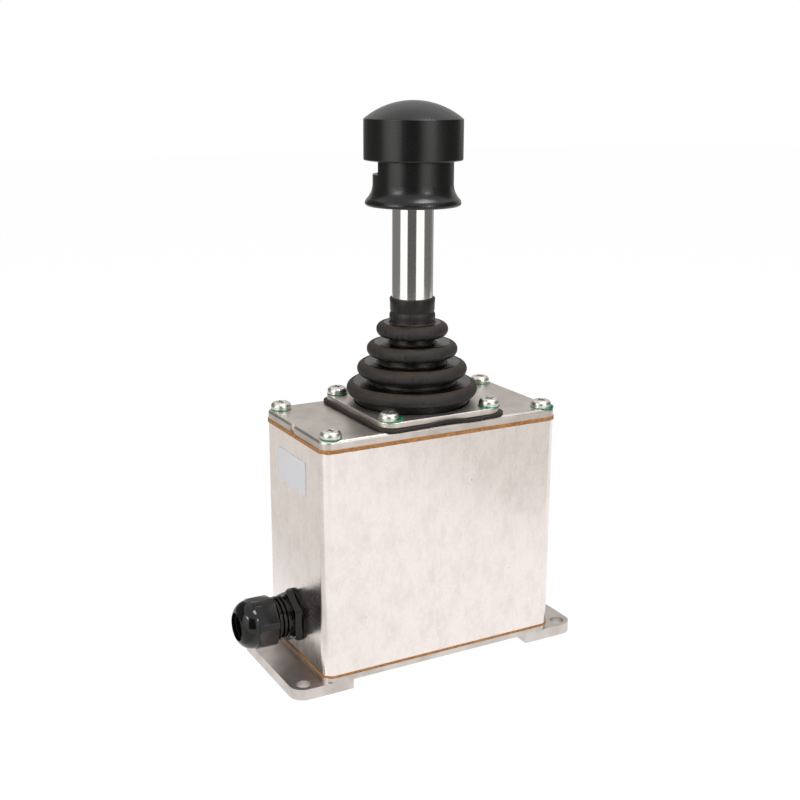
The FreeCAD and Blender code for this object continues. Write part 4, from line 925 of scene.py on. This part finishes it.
def seen_plainly(tree):
    """1 for what the camera sees, straight or in metal and glass, and 0 for all other light."""
    path = add(tree, "ShaderNodeLightPath")
    seen = add(tree, "ShaderNodeMath", [(path.outputs["Is Camera Ray"], 0),
                                        (path.outputs["Is Glossy Ray"], 1)],
               operation="MAXIMUM")
    clear = add(tree, "ShaderNodeMath", [(seen.outputs[0], 0),
                                         (path.outputs["Is Transmission Ray"], 1)],
                operation="MAXIMUM")
    return clear.outputs[0]


class JOYSTICK_OT_stage(bpy.types.Operator):
    """Set up the floor, the studio light and the camera"""

    bl_idname = "joystick.stage"
    bl_label = "Stage"

    def execute(self, context):
        self.floor()
        self.world()
        softbox("Left softbox", -75, 22, (0.22, 0.36), 3.4)
        softbox("Right softbox", 12, 22, (0.11, 0.40), 2.2)
        softbox("Top softbox", 31, 72, (0.36, 0.30), 3.6)
        upright_card("Card behind the camera", -30, 19, 0.0, 0.8, 0.11)
        upright_card("White card at the left", -71, -31, 0.0, 0.8, 1.3)
        upright_card("White card at the right", 20, 66, 0.02, 0.8, 1.25)
        upright_card("Grey card at the right", 48, 80, 0.17, 0.8, 0.3, 0.78)
        upright_card("Dark card at the far left", -150, -73, 0.0, 0.8, 0.2)
        upright_card("Dark card at the far right", 67, 128, 0.02, 0.8, 0.16)
        upright_card("Low dark card at the back", 128, 210, 0.0, 0.24, 0.33)
        upright_card("Grey card at the back", 130, 205, 0.26, 0.9, 0.7, 0.82)
        table_card("Card on the table at the left", (-0.5, 0.47), (0.8, 1.06), 0.76)
        table_card("Card on the table at the right", (0.50, -0.57), (0.7, 0.76), 0.74)
        self.camera()
        return {"FINISHED"}

    def floor(self):
        """A pale floor that looks white and keeps the joystick's shadow."""
        deselect()
        bpy.ops.mesh.primitive_plane_add(size=8.0, location=(0, 0, -0.2 * MM))
        floor = bpy.context.object
        floor.name = "floor"
        made, tree, shader = material("Pale studio floor", "#E7E7E7", 0.0, 1.0, 0.0)
        share = add(tree, "ShaderNodeMath", [(seen_plainly(tree), 0)], operation="MULTIPLY")
        share.inputs[1].default_value = 0.88
        white = add(tree, "ShaderNodeEmission", color=(1, 1, 1, 1), strength=1.08)
        mix = add(tree, "ShaderNodeMixShader", [(share.outputs[0], 0), (shader.outputs[0], 1),
                                                (white.outputs[0], 2)])
        tree.links.new(mix.outputs[0], tree.nodes["Material Output"].inputs["Surface"])
        floor.data.materials.append(made)

    def world(self):
        """A white world that lights softly."""
        world = bpy.data.worlds.new("Studio")
        bpy.context.scene.world = world
        world.use_nodes = True
        tree = world.node_tree
        strength = add(tree, "ShaderNodeMapRange", [(seen_plainly(tree), "Value")],
                       to_min=0.4, to_max=1.0)
        tree.links.new(strength.outputs[0], tree.nodes["Background"].inputs["Strength"])
        tree.nodes["Background"].inputs["Color"].default_value = (1, 1, 1, 1)

    def camera(self):
        """The photograph's camera."""
        lens = bpy.data.cameras.new("Camera")
        lens.sensor_width = SENSOR_WIDTH
        lens.lens = FOCAL_LENGTH / PHOTO_WIDTH * SENSOR_WIDTH
        lens.clip_start = 0.01
        item = bpy.data.objects.new("Camera", lens)
        bpy.context.scene.collection.objects.link(item)
        item.matrix_world = (Matrix.Translation(CAMERA_PLACE)
                             @ Matrix.Rotation(-CAMERA_YAW, 4, "Z")
                             @ Matrix.Rotation(math.pi / 2 - CAMERA_PITCH, 4, "X")
                             @ Matrix.Rotation(CAMERA_ROLL, 4, "Z"))
        bpy.context.scene.camera = item
        bpy.context.scene.view_settings.view_transform = "Standard"


class JOYSTICK_PT_panel(bpy.types.Panel):
    """Lists the steps in the order in which they run"""

    bl_idname = "JOYSTICK_PT_panel"
    bl_label = "Industrial joystick"
    bl_space_type = "VIEW_3D"
    bl_region_type = "UI"
    bl_category = "Joystick"

    def draw(self, context):
        for group in (context.scene.joystick_sizes, context.scene.joystick_colours):
            column = self.layout.column()
            for name in group.__annotations__:
                column.prop(group, name)
        for step in STEPS:
            self.layout.operator(step.bl_idname)


STEPS = (JOYSTICK_OT_box, JOYSTICK_OT_screws, JOYSTICK_OT_boot, JOYSTICK_OT_lever,
         JOYSTICK_OT_knob, JOYSTICK_OT_gland, JOYSTICK_OT_label, JOYSTICK_OT_mechanism,
         JOYSTICK_OT_stage)
CLASSES = (JoystickSizes, JoystickColours) + STEPS + (JOYSTICK_PT_panel,)


def register():
    for each in CLASSES:
        bpy.utils.register_class(each)
    bpy.types.Scene.joystick_sizes = bpy.props.PointerProperty(type=JoystickSizes)
    bpy.types.Scene.joystick_colours = bpy.props.PointerProperty(type=JoystickColours)


def unregister():
    del bpy.types.Scene.joystick_sizes
    del bpy.types.Scene.joystick_colours
    for each in reversed(CLASSES):
        bpy.utils.unregister_class(each)


def main():
    """Registers the add-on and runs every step."""
    register()
    bpy.ops.joystick.box()
    bpy.ops.joystick.screws()
    bpy.ops.joystick.boot()
    bpy.ops.joystick.lever()
    bpy.ops.joystick.knob()
    bpy.ops.joystick.gland()
    bpy.ops.joystick.label()
    bpy.ops.joystick.mechanism()
    bpy.ops.joystick.stage()


if __name__ == "__main__":
    main()
